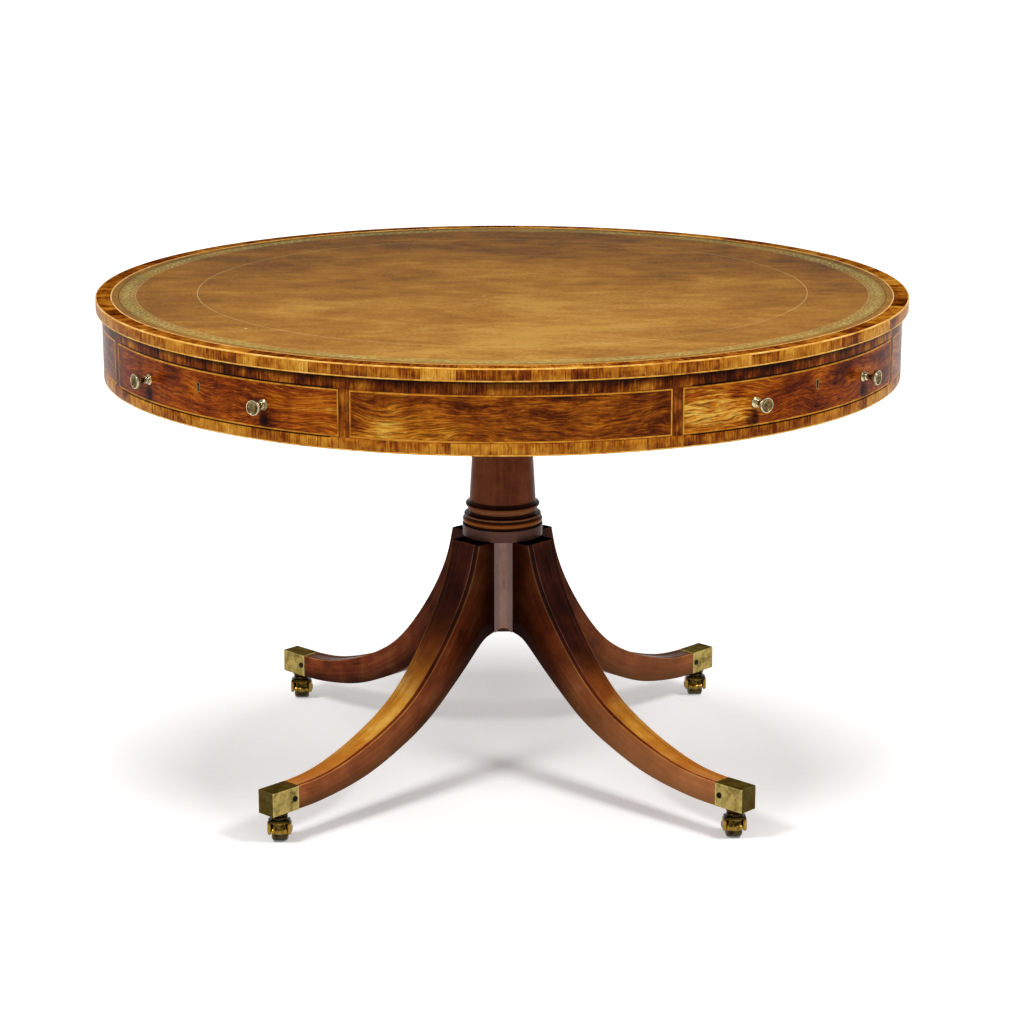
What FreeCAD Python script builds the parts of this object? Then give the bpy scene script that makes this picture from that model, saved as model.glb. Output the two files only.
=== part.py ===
import FreeCAD, Part
import math
import os

# Drum table: a revolving round top lined with leather, four bowed drawers in a deep
# frieze, and a turned column on four splayed legs with brass toe caps and castors.
# Millimetres, +Z up, origin on the floor under the column's axis. The drawers and the
# legs face +X (right), +Y (back), -X (left) and -Y (front). Each of them is drawn once,
# facing +X, and turned to its place.

V = FreeCAD.Vector
ORIGIN = V(0, 0, 0)
UP = V(0, 0, 1)
ALONG_X = V(1, 0, 0)
ALONG_Y = V(0, 1, 0)
QUARTERS = {"right": 0, "back": 1, "left": 2, "front": 3}
QUARTER_DEG = 90.0
FULL_TURN_DEG = 360.0

# Overall sizes
table_height = 762.0
top_radius = 609.0

# Clearances and cuts
glue_line = 0.05
joinery_gap = 0.1
running_gap = 0.3
pin_play = 0.05
cut_overrun = 5.0

# Top board, leather, crossbanding and stringing
top_edge_depth = 18.3
crossband_width = 20.5
crossband_thickness = 2.0
leather_thickness = 1.4
inner_line_width = 2.0
edge_band_thickness = 1.8
arris_string_width = 2.0

# Drum frieze
drum_overhang = 9.0
frieze_thickness = 22.0
top_rail_height = 18.7
drawer_opening_height = 66.0
bottom_rail_height = 17.0
frieze_string_width = 2.0
frieze_string_depth = 1.2
frieze_string_proud = 0.1
panel_string_half_deg = 20.9

# Drum carcase
drum_floor_thickness = 11.0
turning_plate_radius = 170.0
turning_plate_thickness = 7.7
guide_thickness = 20.0
stop_length = 10.0
stop_width = 34.0
stop_height = 12.0
stop_spacing = 300.0

# Drawers
drawer_half_deg = 22.6
drawer_front_gap = 1.0
drawer_half_width = 210.6
drawer_back_distance = 225.0
drawer_side_thickness = 10.0
drawer_back_thickness = 9.0
drawer_bottom_thickness = 5.0
drawer_bottom_rise = 4.0
drawer_side_height = 57.0
drawer_side_play = 0.4
drawer_back_drop = 3.0
tail_count = 3
tail_length = 12.0
tail_height = 13.0
tail_flare = 2.5

# Drawer lock, keyhole and bolt
lock_width = 54.0
lock_height = 36.0
lock_depth = 10.5
lock_wall = 3.0
bolt_width = 22.0
bolt_thickness = 4.0
bolt_height = 20.0
bolt_travel = 6.0
mortise_spare = 1.5
keyhole_round_radius = 2.4
keyhole_slot_width = 2.6
keyhole_slot_drop = 9.0
keyhole_rise = 7.0
escutcheon_wall = 1.3
escutcheon_depth = 1.6

# Drawer knobs
knob_angle_deg = 11.5
knob_base_radius = 7.5
knob_base_thickness = 2.2
knob_neck_radius = 3.2
knob_neck_length = 13.0
knob_head_radius = 11.0
knob_head_length = 9.5
knob_rim_width = 2.0
knob_dish_depth = 3.4
knob_bolt_radius = 2.5
knob_nut_side = 9.0
knob_nut_thickness = 3.5

# Bearing block, pivot bolt and nut
bearing_block_radius = 140.0
bearing_block_thickness = 24.0
pivot_bolt_radius = 11.0
pivot_bolt_embed = 70.0
pivot_bolt_spare = 5.0
pivot_washer_radius = 27.0
pivot_washer_thickness = 2.5
pivot_nut_side = 34.0
pivot_nut_thickness = 12.0

# Column, from its foot upward
column_foot_height = 234.0
leg_top_height = 378.0
core_radius = 56.5
collar_radius = 61.8
collar_height = 19.0
collar_fillet_radius = 59.5
collar_fillet_height = 2.0
lower_ring_root_radius = 56.0
lower_ring_radius = 61.6
lower_ring_height = 12.0
waist_radius = 53.0
waist_hollow = 1.6
waist_height = 9.0
upper_ring_radius = 57.0
upper_ring_height = 9.0
shaft_foot_radius = 51.0
shaft_foot_height = 6.0
shaft_neck_radius = 41.5
astragal_radius = 46.5
astragal_height = 8.0
necking_height = 5.0
echinus_radius = 57.0
echinus_height = 9.0
abacus_height = 4.0
tenon_radius = 27.5
tenon_length = 18.0

# Legs
leg_top_width = 57.6
leg_toe_width = 31.0
leg_shoulder_radius = 81.0
toe_start_radius = 445.0
toe_bottom_height = 50.0
toe_top_height = 86.0
leg_bead_width = 5.5
leg_field_depth = 1.6
dovetail_neck_width = 14.0
dovetail_tail_width = 22.0
dovetail_depth = 14.0
dovetail_height = 116.0
# The leg's upper and lower edges, as shares of its reach and of its drop
leg_upper_shares = [
    (0.0, 1.0), (0.025, 0.88), (0.121, 0.637), (0.239, 0.437), (0.386, 0.255),
    (0.542, 0.142), (0.72, 0.056), (0.876, 0.01), (1.0, 0.0),
]
leg_lower_shares = [
    (0.0, 1.0), (0.044, 0.973), (0.09, 0.9), (0.142, 0.793), (0.233, 0.617),
    (0.364, 0.394), (0.511, 0.228), (0.652, 0.11), (0.818, 0.033), (0.947, 0.003),
    (1.0, 0.0),
]

# Brass toe caps
cap_length = 51.0
cap_wall = 1.8
cap_proud = 0.4
cap_boss_radius = 8.0
cap_boss_height = 14.0
cap_screw_radius = 1.6
cap_screw_head_radius = 2.8
cap_screw_head_height = 0.9
cap_screw_length = 9.0
cap_screw_inset = 8.0

# Castors
wheel_radius = 18.0
wheel_width = 22.0
wheel_shoulder_radius = 15.5
wheel_tread_width = 15.0
castor_trail = 15.0
castor_heading_deg = 135.0
pintle_radius = 5.0
horn_neck_radius = 11.0
horn_cheek_thickness = 5.0
horn_lug_radius = 6.5
horn_neck_length = 13.0
horn_web_thickness = 4.0
wheel_side_play = 0.4
wheel_rim_clearance = 1.8
axle_radius = 3.0
axle_head_radius = 4.4
axle_head_height = 1.2

# Case screws
screw_radius = 2.2
screw_head_radius = 4.4
screw_head_height = 2.4
screw_bite = 12.0
rail_screw_angle_deg = 12.0
plate_screw_count = 8
plate_screw_inset = 14.0

# Heights and radii that follow from the sizes above
board_top = table_height - crossband_thickness
board_bottom = table_height - top_edge_depth
board_radius = top_radius - edge_band_thickness
drum_radius = top_radius - drum_overhang
frieze_inner = drum_radius - frieze_thickness
opening_top = board_bottom - top_rail_height
opening_bottom = opening_top - drawer_opening_height
drum_bottom = opening_bottom - bottom_rail_height
floor_bottom = opening_bottom - drum_floor_thickness
plate_bottom = floor_bottom - turning_plate_thickness
block_top = plate_bottom - running_gap
block_bottom = block_top - bearing_block_thickness
front_top = opening_top - drawer_front_gap
front_bottom = opening_bottom + drawer_front_gap
guide_face = drawer_half_width + drawer_side_play
panel_start_deg = drawer_half_deg + math.degrees(drawer_front_gap / drum_radius)
leg_seat_radius = math.sqrt(core_radius ** 2 - (leg_top_width / 2) ** 2)
cap_end_radius = toe_start_radius + cap_length
castor_radius = toe_start_radius + cap_length / 2
cap_bottom = toe_bottom_height - cap_proud
cap_top = toe_top_height + cap_proud
cap_half_width = leg_toe_width / 2 + cap_proud
cheek_inner = wheel_width / 2 + wheel_side_play
cheek_outer = cheek_inner + horn_cheek_thickness


def box(x_span, y_span, z_span):
    """Box from the low and high values along each axis."""
    corner = V(x_span[0], y_span[0], z_span[0])
    return Part.makeBox(x_span[1] - x_span[0], y_span[1] - y_span[0], z_span[1] - z_span[0], corner)


def outline_face(path):
    """Face in the XZ plane. A step of the path is a point, or a pair of points for an arc."""
    here = V(path[0][0], 0, path[0][1])
    start = here
    edges = []
    for step in path[1:]:
        if isinstance(step[0], tuple):
            through = V(step[0][0], 0, step[0][1])
            end = V(step[1][0], 0, step[1][1])
            edges.append(Part.Arc(here, through, end).toShape())
        else:
            end = V(step[0], 0, step[1])
            edges.append(Part.LineSegment(here, end).toShape())
        here = end
    edges.append(Part.LineSegment(here, start).toShape())
    return Part.Face(Part.Wire(edges))


def turned(path, sweep=FULL_TURN_DEG, start=0):
    """Solid turned about the Z axis from an outline of radius and height."""
    solid = outline_face(path).revolve(ORIGIN, UP, sweep)
    solid.rotate(ORIGIN, UP, start)
    return solid


def ring(inner, outer, low, high, sweep=FULL_TURN_DEG, start=0):
    """Flat ring, disc or ring sector."""
    return turned([(inner, low), (outer, low), (outer, high), (inner, high)], sweep, start)


def cylinder(radius, low, high, centre=(0, 0)):
    """Upright cylinder between two heights."""
    return Part.makeCylinder(radius, high - low, V(centre[0], centre[1], low))


def facing_out(solid, distance, angle, height):
    """Turns a piece drawn along +Z so that it points outward, at a distance, angle and height."""
    solid.rotate(ORIGIN, ALONG_Y, QUARTER_DEG)
    solid.translate(V(distance, 0, height))
    solid.rotate(ORIGIN, UP, angle)
    return solid


def quarter_copy(solid, quarter):
    """Copy of a piece that faces +X, turned to its quarter."""
    copy = solid.copy()
    copy.rotate(ORIGIN, UP, quarter * QUARTER_DEG)
    return copy


def all_quarters(solids):
    """Copies of the solids in all four quarters."""
    return [quarter_copy(solid, quarter) for quarter in QUARTERS.values() for solid in solids]


def edge_curve(shares, low_radius, high_radius, low_height, high_height):
    """Smooth curve through the shares of a leg's reach and drop."""
    reach = high_radius - low_radius
    drop = high_height - low_height
    curve = Part.BSplineCurve()
    curve.interpolate([V(low_radius + u * reach, 0, low_height + v * drop) for u, v in shares])
    return curve.toShape()


def join(edges):
    """Face bounded by edges that follow each other."""
    return Part.Face(Part.Wire(edges))


def line(start, end):
    """Straight edge in the XZ plane."""
    return Part.LineSegment(V(start[0], 0, start[1]), V(end[0], 0, end[1])).toShape()


def extrude_wide(face, half_width):
    """Extrudes a face in the XZ plane equally to both sides."""
    solid = face.extrude(V(0, 2 * half_width, 0))
    solid.translate(V(0, -half_width, 0))
    return solid


def plan_prism(points, low, high):
    """Upright prism over an outline in plan."""
    corners = [V(x, y, low) for x, y in points]
    face = Part.Face(Part.makePolygon(corners + corners[:1]))
    return face.extrude(V(0, 0, high - low))


# Pedestal

def column_solid():
    """Turned column with four flats and dovetail slots for the legs."""
    fillet_low = leg_top_height + collar_height
    lower_low = fillet_low + collar_fillet_height
    lower_mid = lower_low + lower_ring_height / 2
    waist_low = lower_low + lower_ring_height
    waist_mid = waist_low + waist_height / 2
    upper_low = waist_low + waist_height
    upper_mid = upper_low + upper_ring_height / 2
    foot_low = upper_low + upper_ring_height
    shaft_low = foot_low + shaft_foot_height
    abacus_low = block_bottom - abacus_height
    echinus_low = abacus_low - echinus_height
    necking_low = echinus_low - necking_height
    astragal_low = necking_low - astragal_height
    foot_root = (shaft_foot_radius + waist_radius) / 2
    cove_radius = (3 * shaft_foot_radius + foot_root) / 4
    solid = turned([
        (0, column_foot_height),
        (core_radius, column_foot_height),
        (core_radius, leg_top_height),
        (collar_radius, leg_top_height),
        (collar_radius, fillet_low),
        (collar_fillet_radius, fillet_low),
        (collar_fillet_radius, lower_low),
        (lower_ring_root_radius, lower_low),
        ((lower_ring_radius, lower_mid), (lower_ring_root_radius, waist_low)),
        (waist_radius, waist_low),
        ((waist_radius - waist_hollow, waist_mid), (waist_radius, upper_low)),
        ((upper_ring_radius, upper_mid), (waist_radius, foot_low)),
        (foot_root, foot_low),
        ((cove_radius, (foot_low + shaft_low) / 2), (shaft_foot_radius, shaft_low)),
        (shaft_neck_radius, astragal_low),
        ((astragal_radius, astragal_low + astragal_height / 2), (shaft_neck_radius, necking_low)),
        (shaft_neck_radius, echinus_low),
        ((echinus_mid_radius(), echinus_low + echinus_height / 3), (echinus_radius, abacus_low)),
        (echinus_radius, block_bottom),
        (tenon_radius, block_bottom),
        (tenon_radius, block_bottom + tenon_length),
        (0, block_bottom + tenon_length),
    ])
    flat = box((leg_seat_radius, core_radius + cut_overrun),
               (-core_radius, core_radius),
               (column_foot_height - cut_overrun, leg_top_height))
    slot = dovetail_prism(column_foot_height - cut_overrun,
                          column_foot_height + dovetail_height + joinery_gap, joinery_gap)
    for cutter in all_quarters([flat, slot]):
        solid = solid.cut(cutter)
    bolt_hole = cylinder(pivot_bolt_radius + glue_line,
                         block_bottom - pivot_bolt_embed, block_top + cut_overrun)
    return solid.cut(bolt_hole)


def echinus_mid_radius():
    """Radius of the capital's rounded swelling, a little above its foot."""
    return shaft_neck_radius + (echinus_radius - shaft_neck_radius) / 2


def dovetail_prism(low, high, gap):
    """Dovetail of a leg in the column, widening toward the axis, grown by a gap."""
    neck = dovetail_neck_width / 2 + gap
    tail = dovetail_tail_width / 2 + gap
    tip = leg_seat_radius - dovetail_depth - gap
    return plan_prism([
        (leg_seat_radius + gap, -neck), (leg_seat_radius + gap, neck), (tip, tail), (tip, -tail),
    ], low, high)


def leg_plan(inset):
    """Tapering plan of a leg, drawn in from its sides by an inset."""
    root = leg_top_width / 2 - inset
    toe = leg_toe_width / 2 - inset
    return plan_prism([
        (leg_seat_radius, -root), (leg_shoulder_radius, -root), (toe_start_radius, -toe),
        (toe_start_radius, toe), (leg_shoulder_radius, root), (leg_seat_radius, root),
    ], 0, leg_top_height + cut_overrun)


def leg_solid():
    """Splayed leg with a sunk upper face, a dovetail and a tongue in its toe cap."""
    upper = edge_curve(leg_upper_shares, leg_shoulder_radius, toe_start_radius,
                       toe_top_height, leg_top_height)
    lower = edge_curve(leg_lower_shares, leg_seat_radius, toe_start_radius,
                       toe_bottom_height, column_foot_height)
    side = join([
        upper,
        line((toe_start_radius, toe_top_height), (toe_start_radius, toe_bottom_height)),
        lower,
        line((leg_seat_radius, column_foot_height), (leg_seat_radius, leg_top_height)),
        line((leg_seat_radius, leg_top_height), (leg_shoulder_radius, leg_top_height)),
    ])
    leg = extrude_wide(side, leg_top_width).common(leg_plan(0))
    sunk = upper.copy()
    sunk.translate(V(-leg_field_depth, 0, -leg_field_depth))
    sunk_start = (leg_shoulder_radius - leg_field_depth, leg_top_height - leg_field_depth)
    sunk_end = (toe_start_radius - leg_field_depth, toe_top_height - leg_field_depth)
    over = leg_top_height + cut_overrun
    field = join([
        sunk,
        line(sunk_end, (toe_start_radius + cut_overrun, sunk_end[1])),
        line((toe_start_radius + cut_overrun, sunk_end[1]), (toe_start_radius + cut_overrun, over)),
        line((toe_start_radius + cut_overrun, over), (sunk_start[0], over)),
        line((sunk_start[0], over), sunk_start),
    ])
    leg = leg.cut(extrude_wide(field, leg_top_width).common(leg_plan(leg_bead_width)))
    tongue_half = cap_half_width - cap_wall - glue_line
    tongue = box((toe_start_radius - cap_wall, cap_end_radius - cap_wall - glue_line),
                 (-tongue_half, tongue_half),
                 (cap_bottom + cap_wall + glue_line, cap_top - cap_wall - leg_field_depth))
    dovetail = dovetail_prism(column_foot_height, column_foot_height + dovetail_height, 0)
    root = box((leg_seat_radius - glue_line, leg_seat_radius + dovetail_depth),
               (-dovetail_neck_width / 2, dovetail_neck_width / 2),
               (column_foot_height, column_foot_height + dovetail_height))
    leg = leg.fuse([tongue, dovetail, root]).removeSplitter()
    bush_hole = cylinder(cap_boss_radius + joinery_gap, 0,
                         cap_bottom + cap_wall + cap_boss_height + joinery_gap, (castor_radius, 0))
    leg = leg.cut(bush_hole)
    for hole in cap_screw_holes(cap_screw_radius + glue_line):
        leg = leg.cut(hole)
    return leg


def cap_screw_holes(radius):
    """Shanks of the two screws that pass through a toe cap's sides."""
    place_x = toe_start_radius + cap_screw_inset
    place_z = (cap_bottom + cap_top) / 2
    shanks = []
    for side in (-1, 1):
        mouth = V(place_x, side * cap_half_width, place_z)
        shanks.append(Part.makeCylinder(radius, cap_screw_length, mouth, V(0, -side, 0)))
    return shanks


def cap_screw_solids():
    """Two screws with low round heads, one in each side of a toe cap."""
    screws = []
    for side, shank in zip((-1, 1), cap_screw_holes(cap_screw_radius)):
        mouth = V(toe_start_radius + cap_screw_inset, side * cap_half_width, (cap_bottom + cap_top) / 2)
        head = Part.makeCylinder(cap_screw_head_radius, cap_screw_head_height, mouth, V(0, side, 0))
        screws.append(shank.fuse(head))
    return screws


def toe_cap_solid():
    """Brass box on a leg's toe, with a closed end and a socket for the castor's pintle."""
    outer = box((toe_start_radius, cap_end_radius), (-cap_half_width, cap_half_width),
                (cap_bottom, cap_top))
    inner = box((toe_start_radius - cut_overrun, cap_end_radius - cap_wall),
                (-cap_half_width + cap_wall, cap_half_width - cap_wall),
                (cap_bottom + cap_wall, cap_top - cap_wall))
    boss = cylinder(cap_boss_radius, cap_bottom, cap_bottom + cap_wall + cap_boss_height,
                    (castor_radius, 0))
    socket = cylinder(pintle_radius + pin_play, cap_bottom - cut_overrun,
                      cap_bottom + cap_wall + cap_boss_height + cut_overrun, (castor_radius, 0))
    cap = outer.cut(inner).fuse(boss).cut(socket)
    for hole in cap_screw_holes(cap_screw_radius + glue_line):
        cap = cap.cut(hole)
    return cap


def bearing_block_solid():
    """Round block on the column that the drum turns on."""
    block = ring(tenon_radius + glue_line, bearing_block_radius, block_bottom, block_top)
    web = ring(pivot_bolt_radius + glue_line, tenon_radius + glue_line,
               block_bottom + tenon_length + glue_line, block_top)
    return block.fuse(web)


def pivot_bolt_solid():
    """Iron bolt from the column up through the drum's floor."""
    top = opening_bottom + running_gap + pivot_washer_thickness + pivot_nut_thickness
    return cylinder(pivot_bolt_radius, block_bottom - pivot_bolt_embed, top + pivot_bolt_spare)


def pivot_nut_solids():
    """Washer and square nut that keep the drum on its bolt."""
    washer_low = opening_bottom + running_gap
    nut_low = washer_low + pivot_washer_thickness
    bore = pivot_bolt_radius + glue_line
    washer = ring(bore, pivot_washer_radius, washer_low, nut_low)
    half = pivot_nut_side / 2
    nut = box((-half, half), (-half, half), (nut_low, nut_low + pivot_nut_thickness))
    hole = cylinder(bore, nut_low - cut_overrun, nut_low + pivot_nut_thickness + cut_overrun)
    return [washer, nut.cut(hole)]


# Castors, drawn at the origin with the wheel trailing toward +X

def horn_solids():
    """Horn that curves down in front of the wheel, its two cheeks, its pintle and the axle pin."""
    neck_top = cap_bottom - running_gap
    shoulder = neck_top - horn_neck_length
    lug_low = wheel_radius - horn_lug_radius
    lug_back = castor_trail + horn_lug_radius
    lug_slant = horn_lug_radius * math.sqrt(0.5)
    lug_arc = ((castor_trail + lug_slant, wheel_radius - lug_slant), (lug_back, wheel_radius))
    toe = castor_trail - wheel_radius - wheel_rim_clearance
    web = outline_face([
        (-horn_neck_radius, shoulder),
        ((toe - horn_web_thickness, wheel_radius + horn_lug_radius), (toe - horn_web_thickness / 2, lug_low)),
        (castor_trail, lug_low),
        (horn_neck_radius, shoulder),
    ])
    cheek = outline_face([
        (toe, lug_low),
        (castor_trail, lug_low),
        lug_arc,
        (horn_neck_radius, shoulder),
        (toe, shoulder),
    ])
    axle_centre = V(castor_trail, -cheek_inner, wheel_radius)
    wheel_room = Part.makeCylinder(wheel_radius + wheel_rim_clearance, 2 * cheek_inner, axle_centre, ALONG_Y)
    tail_room = box((castor_trail, castor_trail + 2 * wheel_radius), (-cheek_inner, cheek_inner),
                    (0, wheel_radius + wheel_rim_clearance))
    horn = extrude_wide(web, cheek_inner)
    cheeks = extrude_wide(cheek, cheek_outer).cut(extrude_wide(cheek, cheek_inner))
    neck = cylinder(horn_neck_radius, shoulder - horn_web_thickness, neck_top)
    pintle = cylinder(pintle_radius, shoulder, cap_bottom + cap_wall + cap_boss_height - running_gap)
    horn = horn.fuse([cheeks, neck]).cut(wheel_room.fuse(tail_room)).fuse(pintle).removeSplitter()
    pin_start = V(castor_trail, -cheek_outer, wheel_radius)
    axle_hole = Part.makeCylinder(axle_radius + glue_line, 2 * cheek_outer, pin_start, ALONG_Y)
    pin = Part.makeCylinder(axle_radius, 2 * cheek_outer, pin_start, ALONG_Y)
    heads = [
        Part.makeCylinder(axle_head_radius, axle_head_height,
                          V(castor_trail, side * cheek_outer, wheel_radius), V(0, side, 0))
        for side in (-1, 1)
    ]
    return [horn.cut(axle_hole), pin.fuse(heads)]


def wheel_solid():
    """Solid brass wheel with rounded shoulders, bored for its axle."""
    half = wheel_width / 2
    tread = wheel_tread_width / 2
    bore = axle_radius + pin_play
    bulge_radius = wheel_shoulder_radius + (wheel_radius - wheel_shoulder_radius) * math.sqrt(0.5)
    bulge_half = tread + (half - tread) * math.sqrt(0.5)
    wheel = turned([
        (bore, -half),
        (wheel_shoulder_radius, -half),
        ((bulge_radius, -bulge_half), (wheel_radius, -tread)),
        (wheel_radius, tread),
        ((bulge_radius, bulge_half), (wheel_shoulder_radius, half)),
        (bore, half),
    ])
    wheel.rotate(ORIGIN, ALONG_X, QUARTER_DEG)
    wheel.translate(V(castor_trail, 0, wheel_radius))
    return wheel


def at_castor(solid, quarter):
    """Copy of a castor piece at its leg's toe, all four trailing the same way."""
    copy = solid.copy()
    copy.rotate(ORIGIN, UP, castor_heading_deg)
    bearing = math.radians(quarter * QUARTER_DEG)
    copy.translate(V(castor_radius * math.cos(bearing), castor_radius * math.sin(bearing), 0))
    return copy


# Revolving top

def top_board_solid():
    """Round board that carries the leather and the veneers."""
    board = cylinder(board_radius - arris_string_width + edge_band_thickness, board_bottom, board_top)
    for hole in rail_screw_solids(glue_line):
        board = board.cut(hole)
    return board


def leather_solid():
    """Leather writing surface."""
    radius = top_radius - arris_string_width - crossband_width - inner_line_width - 3 * glue_line
    return cylinder(radius, board_top, board_top + leather_thickness)


def crossband_solid():
    """Ring of crossbanded veneer round the leather."""
    outer = top_radius - arris_string_width - glue_line
    return ring(outer - crossband_width, outer, board_top, table_height)


def edge_band_solid():
    """Crossbanded veneer on the edge of the top, between its two strings."""
    inner = top_radius - arris_string_width + glue_line
    return ring(inner, inner + edge_band_thickness,
                board_bottom + arris_string_width + glue_line,
                board_top - glue_line)


def top_string_solids():
    """Strings at the two arrises of the top, and the line between crossbanding and leather."""
    inner = top_radius - arris_string_width
    upper = ring(inner, top_radius, board_top, table_height)
    lower = ring(inner + glue_line, top_radius, board_bottom, board_bottom + arris_string_width)
    line_outer = inner - crossband_width - 2 * glue_line
    inlay = ring(line_outer - inner_line_width, line_outer, board_top, table_height)
    return [upper, lower, inlay]


def top_rail_solid():
    """Crossbanded ring over the drawers, mortised for the lock bolts."""
    rail = ring(frieze_inner, drum_radius, opening_top, board_bottom)
    half = bolt_width / 2 + running_gap
    mortise = box((bolt_face() - running_gap, bolt_face() + bolt_thickness + running_gap), (-half, half),
                  (opening_top - cut_overrun,
                   front_top + bolt_travel + mortise_spare))
    for cutter in all_quarters([mortise]) + rail_screw_solids(glue_line):
        rail = rail.cut(cutter)
    return rail


def bottom_rail_solid():
    """Ring under the drawers, rebated for its string."""
    rebate = frieze_string_width
    return turned([
        (frieze_inner, drum_bottom),
        (drum_radius - rebate, drum_bottom),
        (drum_radius - rebate, drum_bottom + rebate),
        (drum_radius, drum_bottom + rebate),
        (drum_radius, opening_bottom),
        (frieze_inner, opening_bottom),
    ])


def bottom_string_solid():
    """String at the lower arris of the drum."""
    return ring(drum_radius - frieze_string_width + glue_line, drum_radius + frieze_string_proud,
                drum_bottom, drum_bottom + frieze_string_width - glue_line)


def string_frame(half_deg, low, high, gap, middle_deg):
    """Frame of stringing let into a bowed face, grown by a gap, centred on an angle."""
    gap_deg = math.degrees(gap / drum_radius)
    width_deg = math.degrees(frieze_string_width / drum_radius)
    depth = drum_radius - frieze_string_depth - gap
    proud = drum_radius + frieze_string_proud
    outer_deg = half_deg + gap_deg
    inner_deg = half_deg - width_deg - gap_deg
    frame = ring(depth, proud, low - gap, high + gap, 2 * outer_deg, middle_deg - outer_deg)
    window = ring(depth - cut_overrun, proud + cut_overrun,
                  low + frieze_string_width + gap, high - frieze_string_width - gap,
                  2 * inner_deg, middle_deg - inner_deg)
    return frame.cut(window)


def panel_solid():
    """Bowed fixed panel between two drawers, grooved for its stringing."""
    span = QUARTER_DEG - 2 * panel_start_deg
    block = ring(frieze_inner, drum_radius, opening_bottom, opening_top, span, panel_start_deg)
    groove = string_frame(panel_string_half_deg, front_bottom, front_top, glue_line, QUARTER_DEG / 2)
    return block.cut(groove)


def panel_string_solid():
    """Stringing of a fixed panel."""
    return string_frame(panel_string_half_deg, front_bottom, front_top, 0, QUARTER_DEG / 2)


def drum_floor_solid():
    """Round floor of the drum that the drawers run on, bored for the pivot bolt."""
    floor = ring(pivot_bolt_radius + pin_play, frieze_inner - glue_line, floor_bottom, opening_bottom)
    for hole in plate_screw_solids(glue_line):
        floor = floor.cut(hole)
    return floor


def turning_plate_solid():
    """Hardwood plate under the drum's floor that turns on the bearing block."""
    plate = ring(pivot_bolt_radius + pin_play, turning_plate_radius, plate_bottom, floor_bottom)
    for hole in plate_screw_solids(glue_line):
        plate = plate.cut(hole)
    return plate


def guide_solids():
    """Two upright boards beside a drawer, from the drum's floor to the top board."""
    outer = guide_face + guide_thickness
    reach = (guide_face, outer)
    trim = cylinder(frieze_inner - drawer_side_play, opening_bottom, board_bottom)
    left = box((guide_face, drum_radius), reach, (opening_bottom, board_bottom)).common(trim)
    right = box((outer, drum_radius), (-outer, -guide_face), (opening_bottom, board_bottom)).common(trim)
    return [left, right]


def stop_solids():
    """Two blocks behind a drawer that it closes against."""
    face = drawer_back_distance - running_gap
    stops = []
    for side in (-1, 1):
        middle = side * stop_spacing / 2
        stops.append(box((face - stop_length, face), (middle - stop_width / 2, middle + stop_width / 2),
                         (opening_bottom, opening_bottom + stop_height)))
    return stops


def wood_screw(head_low, length, gap):
    """Upright wood screw at the axis with its head down, grown by a gap."""
    shank = cylinder(screw_radius + gap, head_low, head_low + length + gap)
    head = cylinder(screw_head_radius + gap, head_low - gap, head_low + screw_head_height + gap)
    return shank.fuse(head)


def rail_screw_solids(gap):
    """Screws from the top rail up into the top board."""
    length = top_rail_height + screw_bite - gap_free_head()
    screws = []
    for quarter in QUARTERS.values():
        for side in (-1, 1):
            screw = wood_screw(opening_top + gap_free_head(), length, gap)
            screw.translate(V(drum_radius - frieze_thickness / 2, 0, 0))
            screw.rotate(ORIGIN, UP, quarter * QUARTER_DEG + side * rail_screw_angle_deg)
            screws.append(screw)
    return screws


def gap_free_head():
    """How far a sunk screw head lies inside the face it is driven from."""
    return joinery_gap


def plate_screw_solids(gap):
    """Screws from the turning plate up into the drum's floor."""
    screws = []
    for index in range(plate_screw_count):
        length = turning_plate_thickness + drum_floor_thickness / 2
        screw = wood_screw(plate_bottom + gap_free_head(), length, gap)
        screw.translate(V(turning_plate_radius - plate_screw_inset, 0, 0))
        screw.rotate(ORIGIN, UP, (index + 0.5) * FULL_TURN_DEG / plate_screw_count)
        screws.append(screw)
    return screws


# Drawers, facing +X

def bolt_face():
    """Distance from the axis to the inner face of a lock bolt."""
    return frieze_inner + lock_wall


def lock_box(gap):
    """Body of the lock, grown by a gap at its buried faces."""
    half = lock_width / 2 + gap
    inner = math.sqrt(frieze_inner ** 2 - (lock_width / 2) ** 2)
    return box((inner, frieze_inner + lock_depth + gap), (-half, half),
               (front_top - lock_height - gap, front_top))


def keyhole(grow, x_low, x_high):
    """Keyhole through a drawer front, grown all round."""
    height = front_top - lock_height + keyhole_slot_drop + keyhole_rise
    round_part = Part.makeCylinder(keyhole_round_radius + grow, x_high - x_low, V(x_low, 0, height),
                                   ALONG_X)
    half = keyhole_slot_width / 2 + grow
    slot = box((x_low, x_high), (-half, half), (height - keyhole_slot_drop - grow, height))
    return round_part.fuse(slot)


def tail_prisms(side, gap):
    """Lapped dovetails from a drawer's side into its front, grown by a gap."""
    y_span = sorted((side * (drawer_half_width - drawer_side_thickness), side * drawer_half_width))
    root = math.sqrt(frieze_inner ** 2 - drawer_half_width ** 2)
    tip = root + tail_length
    pitch = drawer_side_height / tail_count
    tails = []
    for index in range(tail_count):
        middle = side_low() + (index + 0.5) * pitch
        half = tail_height / 2 + gap
        face = join([
            line((root - tail_length, middle - half), (root, middle - half)),
            line((root, middle - half), (tip + gap, middle - half - tail_flare)),
            line((tip + gap, middle - half - tail_flare), (tip + gap, middle + half + tail_flare)),
            line((tip + gap, middle + half + tail_flare), (root, middle + half)),
            line((root, middle + half), (root - tail_length, middle + half)),
            line((root - tail_length, middle + half), (root - tail_length, middle - half)),
        ])
        tail = face.extrude(V(0, y_span[1] - y_span[0] + 2 * gap, 0))
        tail.translate(V(0, y_span[0] - gap, 0))
        tails.append(tail)
    return tails


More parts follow.
